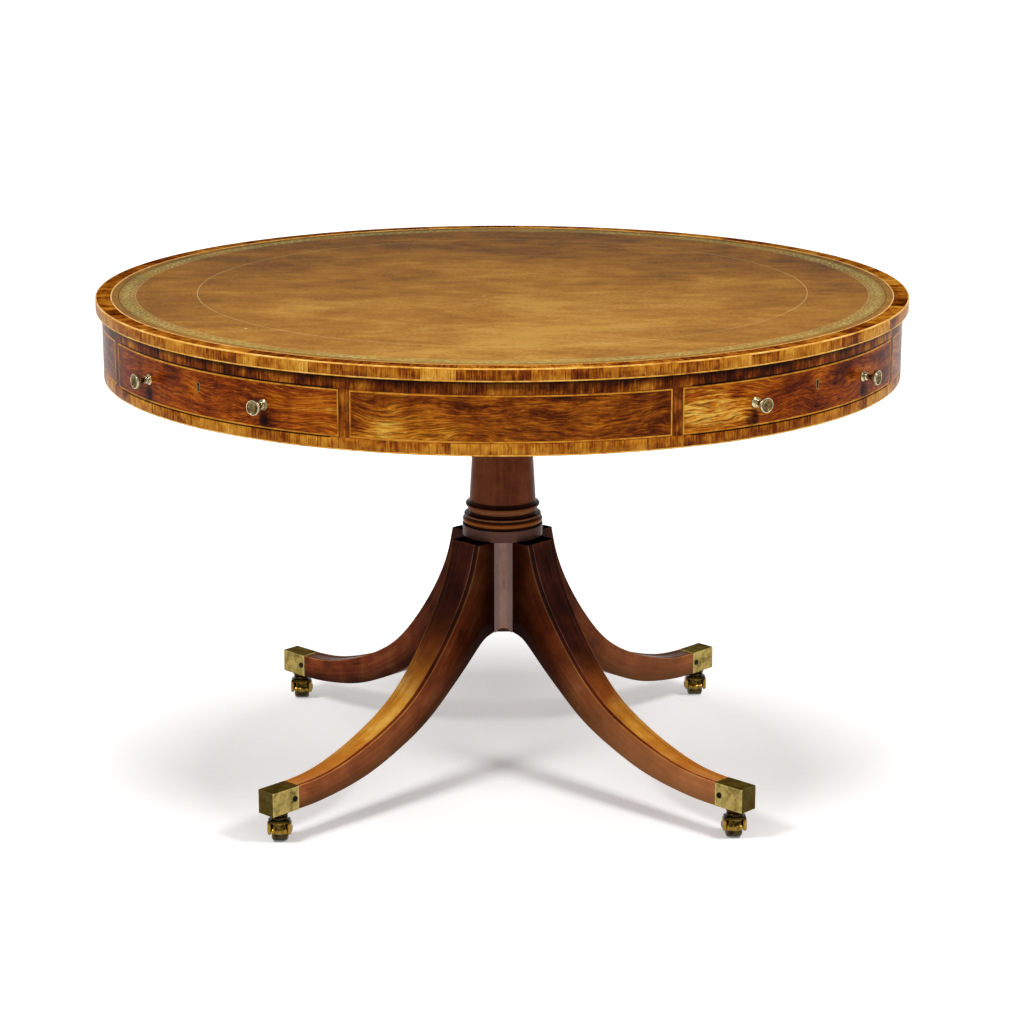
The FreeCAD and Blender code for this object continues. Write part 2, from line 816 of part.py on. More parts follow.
def side_low():
    """Lower edge of the drawer's sides, just clear of the drum's floor."""
    return opening_bottom + drawer_side_play


def front_solid():
    """Bowed drawer front, pocketed for the lock and bored for its fittings."""
    front = ring(frieze_inner, drum_radius, front_bottom, front_top, 2 * drawer_half_deg, -drawer_half_deg)
    cutters = [
        lock_box(joinery_gap),
        keyhole(0, frieze_inner + lock_depth, drum_radius + cut_overrun),
        keyhole(escutcheon_wall + glue_line, drum_radius - escutcheon_depth, drum_radius + cut_overrun),
        string_frame(drawer_half_deg, front_bottom, front_top, glue_line, 0),
    ]
    for side in (-1, 1):
        cutters += tail_prisms(side, joinery_gap)
        bore = cylinder(knob_bolt_radius + glue_line, -frieze_thickness - cut_overrun, cut_overrun)
        cutters.append(facing_out(bore, drum_radius, side * knob_angle_deg, knob_height()))
    for cutter in cutters:
        front = front.cut(cutter)
    return front


def drawer_string_solid():
    """Stringing round the edge of a drawer front."""
    return string_frame(drawer_half_deg, front_bottom, front_top, 0, 0)


def drawer_box_solids():
    """Two sides, the back and the bottom of a drawer."""
    inside = drawer_half_width - drawer_side_thickness
    low = side_low()
    high = low + drawer_side_height
    reach = cylinder(frieze_inner - joinery_gap, low, high)
    bottom_low = low + drawer_bottom_rise
    bottom_high = bottom_low + drawer_bottom_thickness
    pieces = []
    for side in (-1, 1):
        y_span = sorted((side * inside, side * drawer_half_width))
        board = box((drawer_back_distance, drum_radius), y_span, (low, high)).common(reach)
        pieces.append(board.fuse(tail_prisms(side, 0)).removeSplitter())
    width = (-inside + glue_line, inside - glue_line)
    pieces.append(box((drawer_back_distance, drawer_back_distance + drawer_back_thickness), width,
                      (bottom_high, high - drawer_back_drop)))
    pieces.append(box((drawer_back_distance, drum_radius), width, (bottom_low, bottom_high)).common(reach))
    return pieces


def knob_height():
    """Height of the knobs, in the middle of a drawer front."""
    return (front_top + front_bottom) / 2


def knob_solids():
    """Two dished brass knobs with their bolts and square nuts."""
    neck_end = knob_base_thickness + knob_neck_length
    head_end = neck_end + knob_head_length
    rim_inner = knob_head_radius - knob_rim_width
    dish_low = head_end - knob_dish_depth
    dish_sag = knob_dish_depth - knob_rim_width / 2
    dish_sphere = (rim_inner ** 2 + dish_sag ** 2) / (2 * dish_sag)
    dish_rise = dish_sphere - math.sqrt(dish_sphere ** 2 - (rim_inner / 2) ** 2)
    pieces = []
    for side in (-1, 1):
        knob = turned([
            (0, -frieze_thickness - knob_nut_thickness),
            (knob_bolt_radius, -frieze_thickness - knob_nut_thickness),
            (knob_bolt_radius, frieze_string_proud),
            (knob_base_radius, frieze_string_proud),
            (knob_base_radius, knob_base_thickness / 2),
            (knob_neck_radius + knob_base_thickness, knob_base_thickness),
            ((knob_neck_radius, (knob_base_thickness + neck_end) / 2),
             (knob_neck_radius + knob_base_thickness, neck_end)),
            (knob_head_radius, neck_end + knob_head_length / 2),
            (knob_head_radius, head_end - knob_rim_width / 2),
            ((knob_head_radius - knob_rim_width / 2, head_end), (rim_inner, head_end - knob_rim_width / 2)),
            ((rim_inner / 2, dish_low + dish_rise), (0, dish_low)),
        ])
        half = knob_nut_side / 2
        nut_low = -frieze_thickness - knob_nut_thickness
        nut = box((-half, half), (-half, half), (nut_low, -frieze_thickness - joinery_gap))
        hole = cylinder(knob_bolt_radius + glue_line, nut_low - cut_overrun, 0)
        nut = nut.cut(hole)
        pieces.append(facing_out(knob, drum_radius, side * knob_angle_deg, knob_height()))
        pieces.append(facing_out(nut, drum_radius, side * knob_angle_deg, knob_height()))
    return pieces


def lock_solids():
    """Lock body with its bolt way, and the escutcheon round the keyhole."""
    half = bolt_width / 2 + running_gap
    way = box((bolt_face() - running_gap, bolt_face() + bolt_thickness + running_gap), (-half, half),
              (front_top - bolt_height - 2 * running_gap, front_top + cut_overrun))
    body = lock_box(0).cut(way)
    body = body.cut(keyhole(0, bolt_face(), frieze_inner + lock_depth + cut_overrun))
    escutcheon = keyhole(escutcheon_wall, drum_radius - escutcheon_depth, drum_radius + frieze_string_proud)
    escutcheon = escutcheon.cut(keyhole(0, frieze_inner, drum_radius + cut_overrun))
    return [body, escutcheon]


def bolt_solid():
    """Sliding bolt of the lock, drawn back."""
    top = front_top - running_gap
    return box((bolt_face(), bolt_face() + bolt_thickness), (-bolt_width / 2, bolt_width / 2),
               (top - bolt_height, top))


# Nodes

nodes = {
    "column": [column_solid()],
    "bearing_block": [bearing_block_solid()],
    "pivot_bolt": [pivot_bolt_solid()],
    "pivot_nut": pivot_nut_solids(),
    "toe_cap_screws": all_quarters(cap_screw_solids()),
    "top_board": [top_board_solid()],
    "leather_inset": [leather_solid()],
    "top_crossband": [crossband_solid()],
    "top_edge_band": [edge_band_solid()],
    "top_strings": top_string_solids(),
    "frieze_top_rail": [top_rail_solid()],
    "frieze_bottom_rail": [bottom_rail_solid()],
    "frieze_bottom_string": [bottom_string_solid()],
    "frieze_panels": all_quarters([panel_solid()]),
    "panel_strings": all_quarters([panel_string_solid()]),
    "drum_floor": [drum_floor_solid()],
    "turning_plate": [turning_plate_solid()],
    "drawer_guides": all_quarters(guide_solids()),
    "drawer_stops": all_quarters(stop_solids()),
    "case_screws": rail_screw_solids(0) + plate_screw_solids(0),
}

quarter_pieces = {
    "leg": [leg_solid()],
    "toe_cap": [toe_cap_solid()],
    "drawer_front": [front_solid()],
    "drawer_string": [drawer_string_solid()],
    "drawer_box": drawer_box_solids(),
    "drawer_knobs": knob_solids(),
    "drawer_lock": lock_solids(),
    "lock_bolt": [bolt_solid()],
}
for piece_name, solids in quarter_pieces.items():
    for place, quarter in QUARTERS.items():
        nodes[piece_name + "_" + place] = [quarter_copy(solid, quarter) for solid in solids]

castor_pieces = {"castor_horn": horn_solids(), "castor_wheel": [wheel_solid()]}
for piece_name, solids in castor_pieces.items():
    for place, quarter in QUARTERS.items():
        nodes[piece_name + "_" + place] = [at_castor(solid, quarter) for solid in solids]

for node_name, solids in nodes.items():
    shape = solids[0] if len(solids) == 1 else Part.makeCompound(solids)
    shape.exportStep("parts/" + node_name + ".step")
    volume_cm3 = shape.Volume / 1000
    print(node_name, len(shape.Solids), "solids", round(volume_cm3, 1), "cm3", shape.isValid())
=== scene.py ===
"""Drum table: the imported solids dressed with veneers, leather and brass, in the solids' own frame."""

import logging
import math
from dataclasses import dataclass
from enum import Enum, IntEnum
from typing import Callable, Optional, Sequence, Union

import bmesh
import bpy
import numpy as np
from mathutils import Matrix, Vector, noise


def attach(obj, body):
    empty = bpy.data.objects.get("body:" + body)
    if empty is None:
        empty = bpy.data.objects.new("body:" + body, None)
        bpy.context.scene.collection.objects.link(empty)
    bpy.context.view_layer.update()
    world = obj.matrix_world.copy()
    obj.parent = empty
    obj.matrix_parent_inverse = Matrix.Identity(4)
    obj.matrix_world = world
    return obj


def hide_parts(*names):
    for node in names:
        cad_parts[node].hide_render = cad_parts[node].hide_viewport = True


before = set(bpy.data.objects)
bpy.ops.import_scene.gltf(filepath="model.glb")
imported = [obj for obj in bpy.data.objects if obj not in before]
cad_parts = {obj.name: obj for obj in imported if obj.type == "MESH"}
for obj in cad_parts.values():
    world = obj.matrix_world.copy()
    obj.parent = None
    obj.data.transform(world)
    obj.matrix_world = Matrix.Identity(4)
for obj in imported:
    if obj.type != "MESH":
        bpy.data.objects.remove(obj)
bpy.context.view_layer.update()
log = logging.getLogger("drum_table")

MM = 0.001
# Shellac polish reflects little but clearly; constants of the shader itself
POLISH = {"IOR": 1.5, "Specular IOR Level": 0.015, "Coat Weight": 0.03, "Coat Roughness": 0.08}
WAXED = {"IOR": 1.5, "Specular IOR Level": 0.0}
Point2 = tuple[float, float]
Ink = tuple[float, float, float, float]
Tree = bpy.types.NodeTree
Node = bpy.types.Node
Socket = bpy.types.NodeSocket


class Quarter(Enum):
    """The four sides that drawers and legs face, with their turn from +X in degrees."""

    RIGHT = 0.0
    BACK = 90.0
    LEFT = 180.0
    FRONT = 270.0

    @property
    def label(self) -> str:
        """Name of the side in node names."""
        return self.name.lower()

    def turn(self) -> Matrix:
        """Turn about the upright axis from +X to this side."""
        return Matrix.Rotation(math.radians(self.value), 4, "Z")


class Layout(Enum):
    """Where a veneer's pattern is measured: on a piece's own grain map, or round the drum."""

    MAP = "map"
    DRUM = "drum"


class Grain(Enum):
    """Axis that a board's fibres run along."""

    X = (0, 1, 1)
    Y = (1, 0, 1)
    Z = (1, 1, 0)


class LegFace(IntEnum):
    """Faces of a leg, in the order of its finishes."""

    SIDE = 0
    UPPER = 1
    SHADED = 2
    BEAD = 3
    QUIRK = 4
    ARRIS = 5


# Nodes of the finishes


def linear(code: str) -> Ink:
    """Turns an sRGB hex colour into linear light.

    Args:
        code: Six hex digits, with or without a hash.

    Returns:
        Linear red, green, blue and an alpha of one.
    """
    digits = code.lstrip("#")
    levels = [int(digits[i:i + 2], 16) / 255 for i in (0, 2, 4)]
    red, green, blue = [c / 12.92 if c <= 0.04045 else ((c + 0.055) / 1.055) ** 2.4 for c in levels]
    return red, green, blue, 1.0


def add(tree: Tree, kind: str, inputs: Optional[dict] = None, **settings) -> Node:
    """Adds one node with its settings and links.

    Args:
        tree: Node tree of the finish.
        kind: Type name of the node, after its first word ShaderNode.
        inputs: Values, colours, nodes or sockets for its inputs, by name or number.
        settings: Attributes of the node; stops are the places and colours of a ramp.

    Returns:
        The new node.
    """
    node = tree.nodes.new("ShaderNode" + kind)
    stops = settings.pop("stops", None)
    for key, value in settings.items():
        setattr(node, key, value)
    if stops:
        ramp = node.color_ramp
        while len(ramp.elements) < len(stops):
            ramp.elements.new(1.0)
        for element, (place, code) in zip(ramp.elements, stops):
            element.position = place
            element.color = linear(code)
    for key, value in (inputs or {}).items():
        named = [s for s in node.inputs if s.enabled and s.name == key]
        socket = node.inputs[key] if isinstance(key, int) else named[0]
        if isinstance(value, Node):
            value = next(s for s in value.outputs if s.enabled)
        if isinstance(value, Socket):
            tree.links.new(value, socket)
        else:
            socket.default_value = linear(value) if isinstance(value, str) else value
    return node


def per_mm(*sizes: float) -> tuple[float, ...]:
    """Cycles per metre of patterns whose sizes are given in millimetres."""
    return tuple(1 / (size * MM) for size in sizes)


def figure(tree: Tree, place: Union[Node, Socket], cycles: Sequence[float], **inputs: float) -> Node:
    """Draws noise that is stretched along the grain.

    Args:
        tree: Node tree of the finish.
        place: Where the pattern is measured.
        cycles: Cycles per metre along the three axes.
        inputs: Detail, Roughness and Distortion of the noise.

    Returns:
        Node of the noise.
    """
    stretched = add(tree, "VectorMath", {0: place, 1: cycles}, operation="MULTIPLY")
    return add(tree, "TexNoise", {"Vector": stretched, "Scale": 1.0, **inputs})


def weigh(tree: Tree, base: Union[Node, Socket, float], *parts: tuple[Node, float]) -> Node:
    """Adds patterns by their weights.

    Args:
        tree: Node tree of the finish.
        base: What the sum starts from.
        parts: Nodes of the patterns with their weights.

    Returns:
        Node of the sum.
    """
    for part, weight in parts:
        base = add(tree, "Math", {0: part, 1: weight, 2: base}, operation="MULTIPLY_ADD")
    return base


def lay(tree: Tree, under: Union[Node, str], ink: Union[Node, str], value: Union[Node, Socket], span: Point2,
        shares: Point2 = (0.0, 1.0), smooth: bool = False) -> Node:
    """Lays a colour over another, as much of it as a value says.

    Args:
        tree: Node tree of the finish.
        under: Colour below.
        ink: Colour over it.
        value: What sets the share of the ink.
        span: Values between which the share changes.
        shares: Share of the ink at either end of the span.
        smooth: Whether the change eases in and out.

    Returns:
        Node of the new colour.
    """
    share = add(tree, "MapRange", {"Value": value, "From Min": span[0], "From Max": span[1],
                                   "To Min": shares[0], "To Max": shares[1]},
                interpolation_type="SMOOTHSTEP" if smooth else "LINEAR")
    return add(tree, "Mix", {"Factor": share, "A": under, "B": ink}, data_type="RGBA")


@dataclass(frozen=True)
class Finish:
    """A surface finish. Each kind draws its own nodes."""

    name: str

    def draw(self, tree: Tree) -> None:
        """Draws the finish's nodes. Each kind of finish has its own."""
        raise NotImplementedError

    def material(self) -> bpy.types.Material:
        """Makes the material once and gives the same one again later.

        Returns:
            The material.
        """
        made = bpy.data.materials.get(self.name)
        if made is None:
            made = bpy.data.materials.new(self.name)
            made.use_nodes = True
            made.node_tree.nodes.clear()
            self.draw(made.node_tree)
        return made


def close(tree: Tree, inputs: dict, height: Optional[object] = None, relief_mm: float = 0.0) -> None:
    """Ends a finish with its shader, its relief and the output.

    Args:
        tree: Node tree of the finish.
        inputs: Inputs of the shader.
        height: Node that gives the relief, from nought to one.
        relief_mm: Depth of the relief.
    """
    if height is not None:
        inputs["Normal"] = add(tree, "Bump", {"Height": height, "Distance": relief_mm * MM, "Strength": 1.0})
    shader = add(tree, "BsdfPrincipled", inputs)
    add(tree, "OutputMaterial", {"Surface": shader})


def drum_place(tree: Tree, turn_deg: float) -> Node:
    """Place on the drum as arc, height and depth in metres.

    Args:
        tree: Node tree of the finish.
        turn_deg: Turn of the piece from +X, which puts the pattern's seam on its far side.

    Returns:
        Node of the vector.
    """
    here = add(tree, "TexCoord").outputs["Object"]
    turned = add(tree, "VectorRotate", {"Vector": here, "Angle": -math.radians(turn_deg)},
                 rotation_type="Z_AXIS")
    parts = add(tree, "SeparateXYZ", {0: turned})
    angle = add(tree, "Math", {0: parts.outputs["Y"], 1: parts.outputs["X"]}, operation="ARCTAN2")
    around = add(tree, "Math", {0: angle, 1: DrumFrieze.radius * MM}, operation="MULTIPLY")
    flat = add(tree, "VectorMath", {0: turned, 1: (1, 1, 0)}, operation="MULTIPLY")
    depth = add(tree, "VectorMath", {0: flat}, operation="LENGTH").outputs["Value"]
    return add(tree, "CombineXYZ", {"X": around, "Y": parts.outputs["Z"], "Z": depth})


def beside_quarters(tree: Tree, place: Node, half_deg: float) -> Node:
    """Tells which part of the drum lies near the middles of the four sides.

    Args:
        tree: Node tree of the finish.
        place: Node of the place on the drum.
        half_deg: Half of the angle that counts as near.

    Returns:
        Node that is one on that part and nought elsewhere.
    """
    around = add(tree, "SeparateXYZ", {0: place}).outputs["X"]
    quarter = DrumFrieze.radius * MM * math.pi / 2
    moved = add(tree, "Math", {0: around, 1: quarter / 2}, operation="ADD")
    along = add(tree, "Math", {0: moved, 1: quarter}, operation="FLOORED_MODULO")
    off = add(tree, "Math", {0: along, 1: quarter / 2}, operation="SUBTRACT")
    apart = add(tree, "Math", {0: off}, operation="ABSOLUTE")
    return add(tree, "Math", {0: apart, 1: DrumFrieze.radius * MM * math.radians(half_deg)},
               operation="LESS_THAN")


@dataclass(frozen=True)
class Crossbanding(Finish):
    """Rosewood veneer laid with its grain across the band, French polished.

    Short pieces of differing tone meet at hair joints, so the eye sees fine upright streaks and a
    slight change of colour every few centimetres under a smooth gloss.
    """

    layout: Layout = Layout.MAP
    piece_mm: float = 52.0
    streak_mm: float = 4.2
    fibre_mm: float = 1.6  # real fibres and pores are finer; both are as coarse as they need to be to show
    pore_mm: float = 1.3
    dark: str = "#2A0C03"
    brown: str = "#6E3009"
    bright: str = "#A05C14"
    gold: str = "#C4872A"
    pale: str = "#DDAA50"
    tone: float = 0.0
    # Heights of a painted shadow band, laid where the top's overhang shades the rail
    rim_shadow_from: float = 0.0
    rim_shadow_to: float = 0.0
    # Heights of painted shadow lines along the drawers' openings
    gap_shadow_low: float = 0.0
    gap_shadow_high: float = 0.0
    gloss: bool = True

    def colour(self, tree: Tree) -> tuple[Node, Node]:
        """Draws the veneer's colour and fibres.

        Args:
            tree: Node tree of the finish.

        Returns:
            Nodes of the colour and of the fibres.
        """
        if self.layout is Layout.MAP:
            place = add(tree, "UVMap", uv_map="grain")
        else:
            place = drum_place(tree, 0.0)
        parts = add(tree, "SeparateXYZ", {0: place})
        count = add(tree, "Math", {0: parts.outputs["X"], 1: per_mm(self.piece_mm)[0]}, operation="MULTIPLY")
        cell = add(tree, "TexVoronoi", {"W": count, "Scale": 1.0, "Randomness": 0.9},
                   voronoi_dimensions="1D").outputs["Color"]
        joint = add(tree, "TexVoronoi", {"W": count, "Scale": 1.0, "Randomness": 0.9},
                    voronoi_dimensions="1D", feature="DISTANCE_TO_EDGE").outputs["Distance"]
        own = add(tree, "VectorMath", {0: cell, 1: (3.0, 0.7, 2.0)}, operation="MULTIPLY")
        moved = add(tree, "VectorMath", {0: place, 1: own}, operation="ADD")
        streak = figure(tree, moved, (*per_mm(self.streak_mm, 45.0), 5.0), Detail=4.0, Roughness=0.62,
                        Distortion=0.5)
        fibre = figure(tree, moved, (*per_mm(self.fibre_mm, 34.0), 9.0), Detail=2.0, Roughness=0.75)
        cloud = add(tree, "TexNoise", {"Vector": moved, "Scale": per_mm(26.0)[0], "Detail": 3.0,
                                       "Roughness": 0.6})
        shade = add(tree, "SeparateColor", {0: cell})
        lift = add(tree, "MapRange", {"Value": shade.outputs["Red"], "To Min": -0.035 + self.tone,
                                      "To Max": 0.095 + self.tone})
        third = weigh(tree, lift, (streak, 0.22), (cloud, 0.44), (fibre, 0.32))
        ramp = add(tree, "ValToRGB", {0: third}, stops=[(0.35, self.dark), (0.455, self.brown),
                                                        (0.53, self.bright), (0.63, self.gold),
                                                        (0.74, self.pale)])
        colour = lay(tree, ramp, self.dark, joint, (0.0, 0.014), (0.6, 0.0))
        pores = figure(tree, moved, (*per_mm(self.pore_mm, 13.0), 9.0), Detail=1.0, Distortion=0.3)
        colour = lay(tree, colour, "#3C1605", pores, (0.60, 0.70), (0.0, 0.55))
        # Painted shadow: a near-black band between two heights, under the top's overhang
        if self.rim_shadow_to:
            colour = lay(tree, colour, "#100401", parts.outputs["Y"], (self.rim_shadow_from, self.rim_shadow_to),
                         (0.0, 0.93), smooth=True)
        # Painted shadow: near-black lines along the edges of the drawers' openings, where the gaps lie in
        # shade
        if self.gap_shadow_high:
            middle = (self.gap_shadow_low + self.gap_shadow_high) / 2
            off = add(tree, "Math", {0: parts.outputs["Y"], 1: middle, 2: middle - self.gap_shadow_low},
                      operation="COMPARE")
            drawn = add(tree, "Math", {0: off, 1: beside_quarters(tree, place, Drawer.half_deg)},
                        operation="MULTIPLY")
            gap_shadow = add(tree, "Math", {0: drawn, 1: 0.9}, operation="MULTIPLY")
            colour = add(tree, "Mix", {"Factor": gap_shadow, "A": colour, "B": "#080201"}, data_type="RGBA")
        return colour, fibre

    def draw(self, tree: Tree) -> None:
        """Draws the polished crossbanding.

        Args:
            tree: Node tree of the finish.
        """
        colour, fibre = self.colour(tree)
        rough = add(tree, "MapRange", {"Value": fibre, "To Min": 0.36, "To Max": 0.26})
        close(tree, {"Base Color": colour, "Roughness": rough, **(POLISH if self.gloss else WAXED)}, fibre,
              0.05)


@dataclass(frozen=True)
class FiguredRosewood(Finish):
    """Rosewood veneer laid with its grain along the drum, French polished.

    Dark streaks wander and fold over a golden brown, so the eye sees lively, fine-grained figure
    with brighter patches painted in as highlights, and darker ones painted in as shadows.
    """

    turn_deg: float = 0.0
    offset: float = 0.0
    streak_mm: float = 2.8
    fibre_mm: float = 1.3  # real fibres are finer; this is as coarse as they need to be to show
    # Arc, height, size and strength of each painted highlight patch; a negative strength makes it a painted
    # shadow
    faded_and_painted_light: tuple[tuple[float, float, float, float], ...] = ()
    stile_deg: float = 0.0
    tone: float = 0.0
    umber: str = "#240A03"
    brown: str = "#5A2405"
    amber: str = "#904A0C"
    gold: str = "#BC761A"
    straw: str = "#E2B24C"
    core: str = "#6E4326"

    def colour(self, tree: Tree) -> tuple[Node, Node]:
        """Draws the figure, and the bare mahogany that the veneer is laid on.

        Args:
            tree: Node tree of the finish.

        Returns:
            Nodes of the colour and of the fibres.
        """
        drum = drum_place(tree, self.turn_deg)
        place = add(tree, "VectorMath", {0: drum, 1: (self.offset, 0, self.offset)}, operation="ADD")
        parts = add(tree, "SeparateXYZ", {0: place})
        fold = figure(tree, place, per_mm(150.0, 60.0, 300.0), Detail=1.0, Distortion=0.35)
        ripple = figure(tree, place, per_mm(42.0, 20.0, 80.0), Detail=2.0)
        field = weigh(tree, parts.outputs["Y"], (fold, 0.052), (ripple, 0.008))
        lie = add(tree, "CombineXYZ", {"X": parts.outputs["X"], "Y": field, "Z": parts.outputs["Z"]})
        streak = figure(tree, lie, per_mm(34.0, self.streak_mm, 60.0), Detail=4.0, Roughness=0.6,
                        Distortion=0.3)
        fibre = figure(tree, lie, per_mm(11.0, self.fibre_mm, 20.0), Detail=3.0, Roughness=0.7)
        belt = figure(tree, lie, per_mm(120.0, 12.0, 200.0), Detail=2.0)
        glow = add(tree, "TexNoise", {"Vector": place, "Scale": per_mm(60.0)[0], "Detail": 4.0,
                                      "Roughness": 0.65})
        tone = weigh(tree, self.tone - 0.088, (belt, 0.26), (glow, 0.34), (streak, 0.22), (fibre, 0.32))
        # Painted highlights where the strength is positive, painted shadows where it is negative
        for arc_at, height, size, strength in self.faded_and_painted_light:
            patch = add(tree, "VectorMath", {0: drum, 1: (arc_at, height, 0.6)}, operation="SUBTRACT")
            squeezed = add(tree, "VectorMath", {0: patch, 1: (0.40 if strength > 0 else 1.3, 1.0, 0.2)},
                           operation="MULTIPLY")
            away = add(tree, "VectorMath", {0: squeezed}, operation="LENGTH").outputs["Value"]
            ragged = weigh(tree, 0.8 * size, (streak, -1.6 * size))
            uneven = add(tree, "Math", {0: away, 1: ragged}, operation="ADD")
            near = add(tree, "MapRange", {"Value": uneven, "From Min": 0.1 * size, "From Max": size,
                                          "To Min": strength, "To Max": 0.0}, interpolation_type="SMOOTHSTEP")
            tone = add(tree, "Math", {0: tone, 1: near}, operation="ADD")
        ramp = add(tree, "ValToRGB", {0: tone}, stops=[(0.36, self.umber), (0.445, self.brown),
                                                       (0.52, self.amber), (0.62, self.gold),
                                                       (0.76, self.straw)])
        pores = figure(tree, lie, per_mm(26.0, 1.5, 20.0), Detail=1.0, Distortion=0.4)
        where = weigh(tree, pores, (belt, 0.25))
        ramp = lay(tree, ramp, "#3C1706", where, (0.66, 0.76), (0.0, 0.66))
        if self.stile_deg:
            return self.stiles(tree, drum, ramp), fibre
        depth = add(tree, "SeparateXYZ", {0: drum}).outputs["Z"]
        behind = add(tree, "Math", {0: depth, 1: (DrumFrieze.radius - 1.2) * MM}, operation="LESS_THAN")
        bare = add(tree, "Mix", {"Factor": streak, "A": self.core, "B": "#8E5C38"}, data_type="RGBA")
        return add(tree, "Mix", {"Factor": behind, "A": ramp, "B": bare}, data_type="RGBA"), fibre

    def stiles(self, tree: Tree, drum: Node, inside: Node) -> Node:
        """Puts crossbanding outside a panel's stringing.

        Args:
            tree: Node tree of the finish.
            drum: Node of the place on the drum.
            inside: Node of the colour inside the stringing.

        Returns:
            Node of the whole colour.
        """
        outside = beside_quarters(tree, drum, 45.0 - self.stile_deg)
        banding = Crossbanding("stile", Layout.DRUM, tone=-0.07).colour(tree)[0]
        return add(tree, "Mix", {"Factor": outside, "A": inside, "B": banding}, data_type="RGBA")

    def draw(self, tree: Tree) -> None:
        """Draws the polished figured veneer.

        Args:
            tree: Node tree of the finish.
        """
        colour, fibre = self.colour(tree)
        rough = add(tree, "MapRange", {"Value": fibre, "To Min": 0.34, "To Max": 0.24})
        close(tree, {"Base Color": colour, "Roughness": rough, **POLISH}, fibre, 0.04)


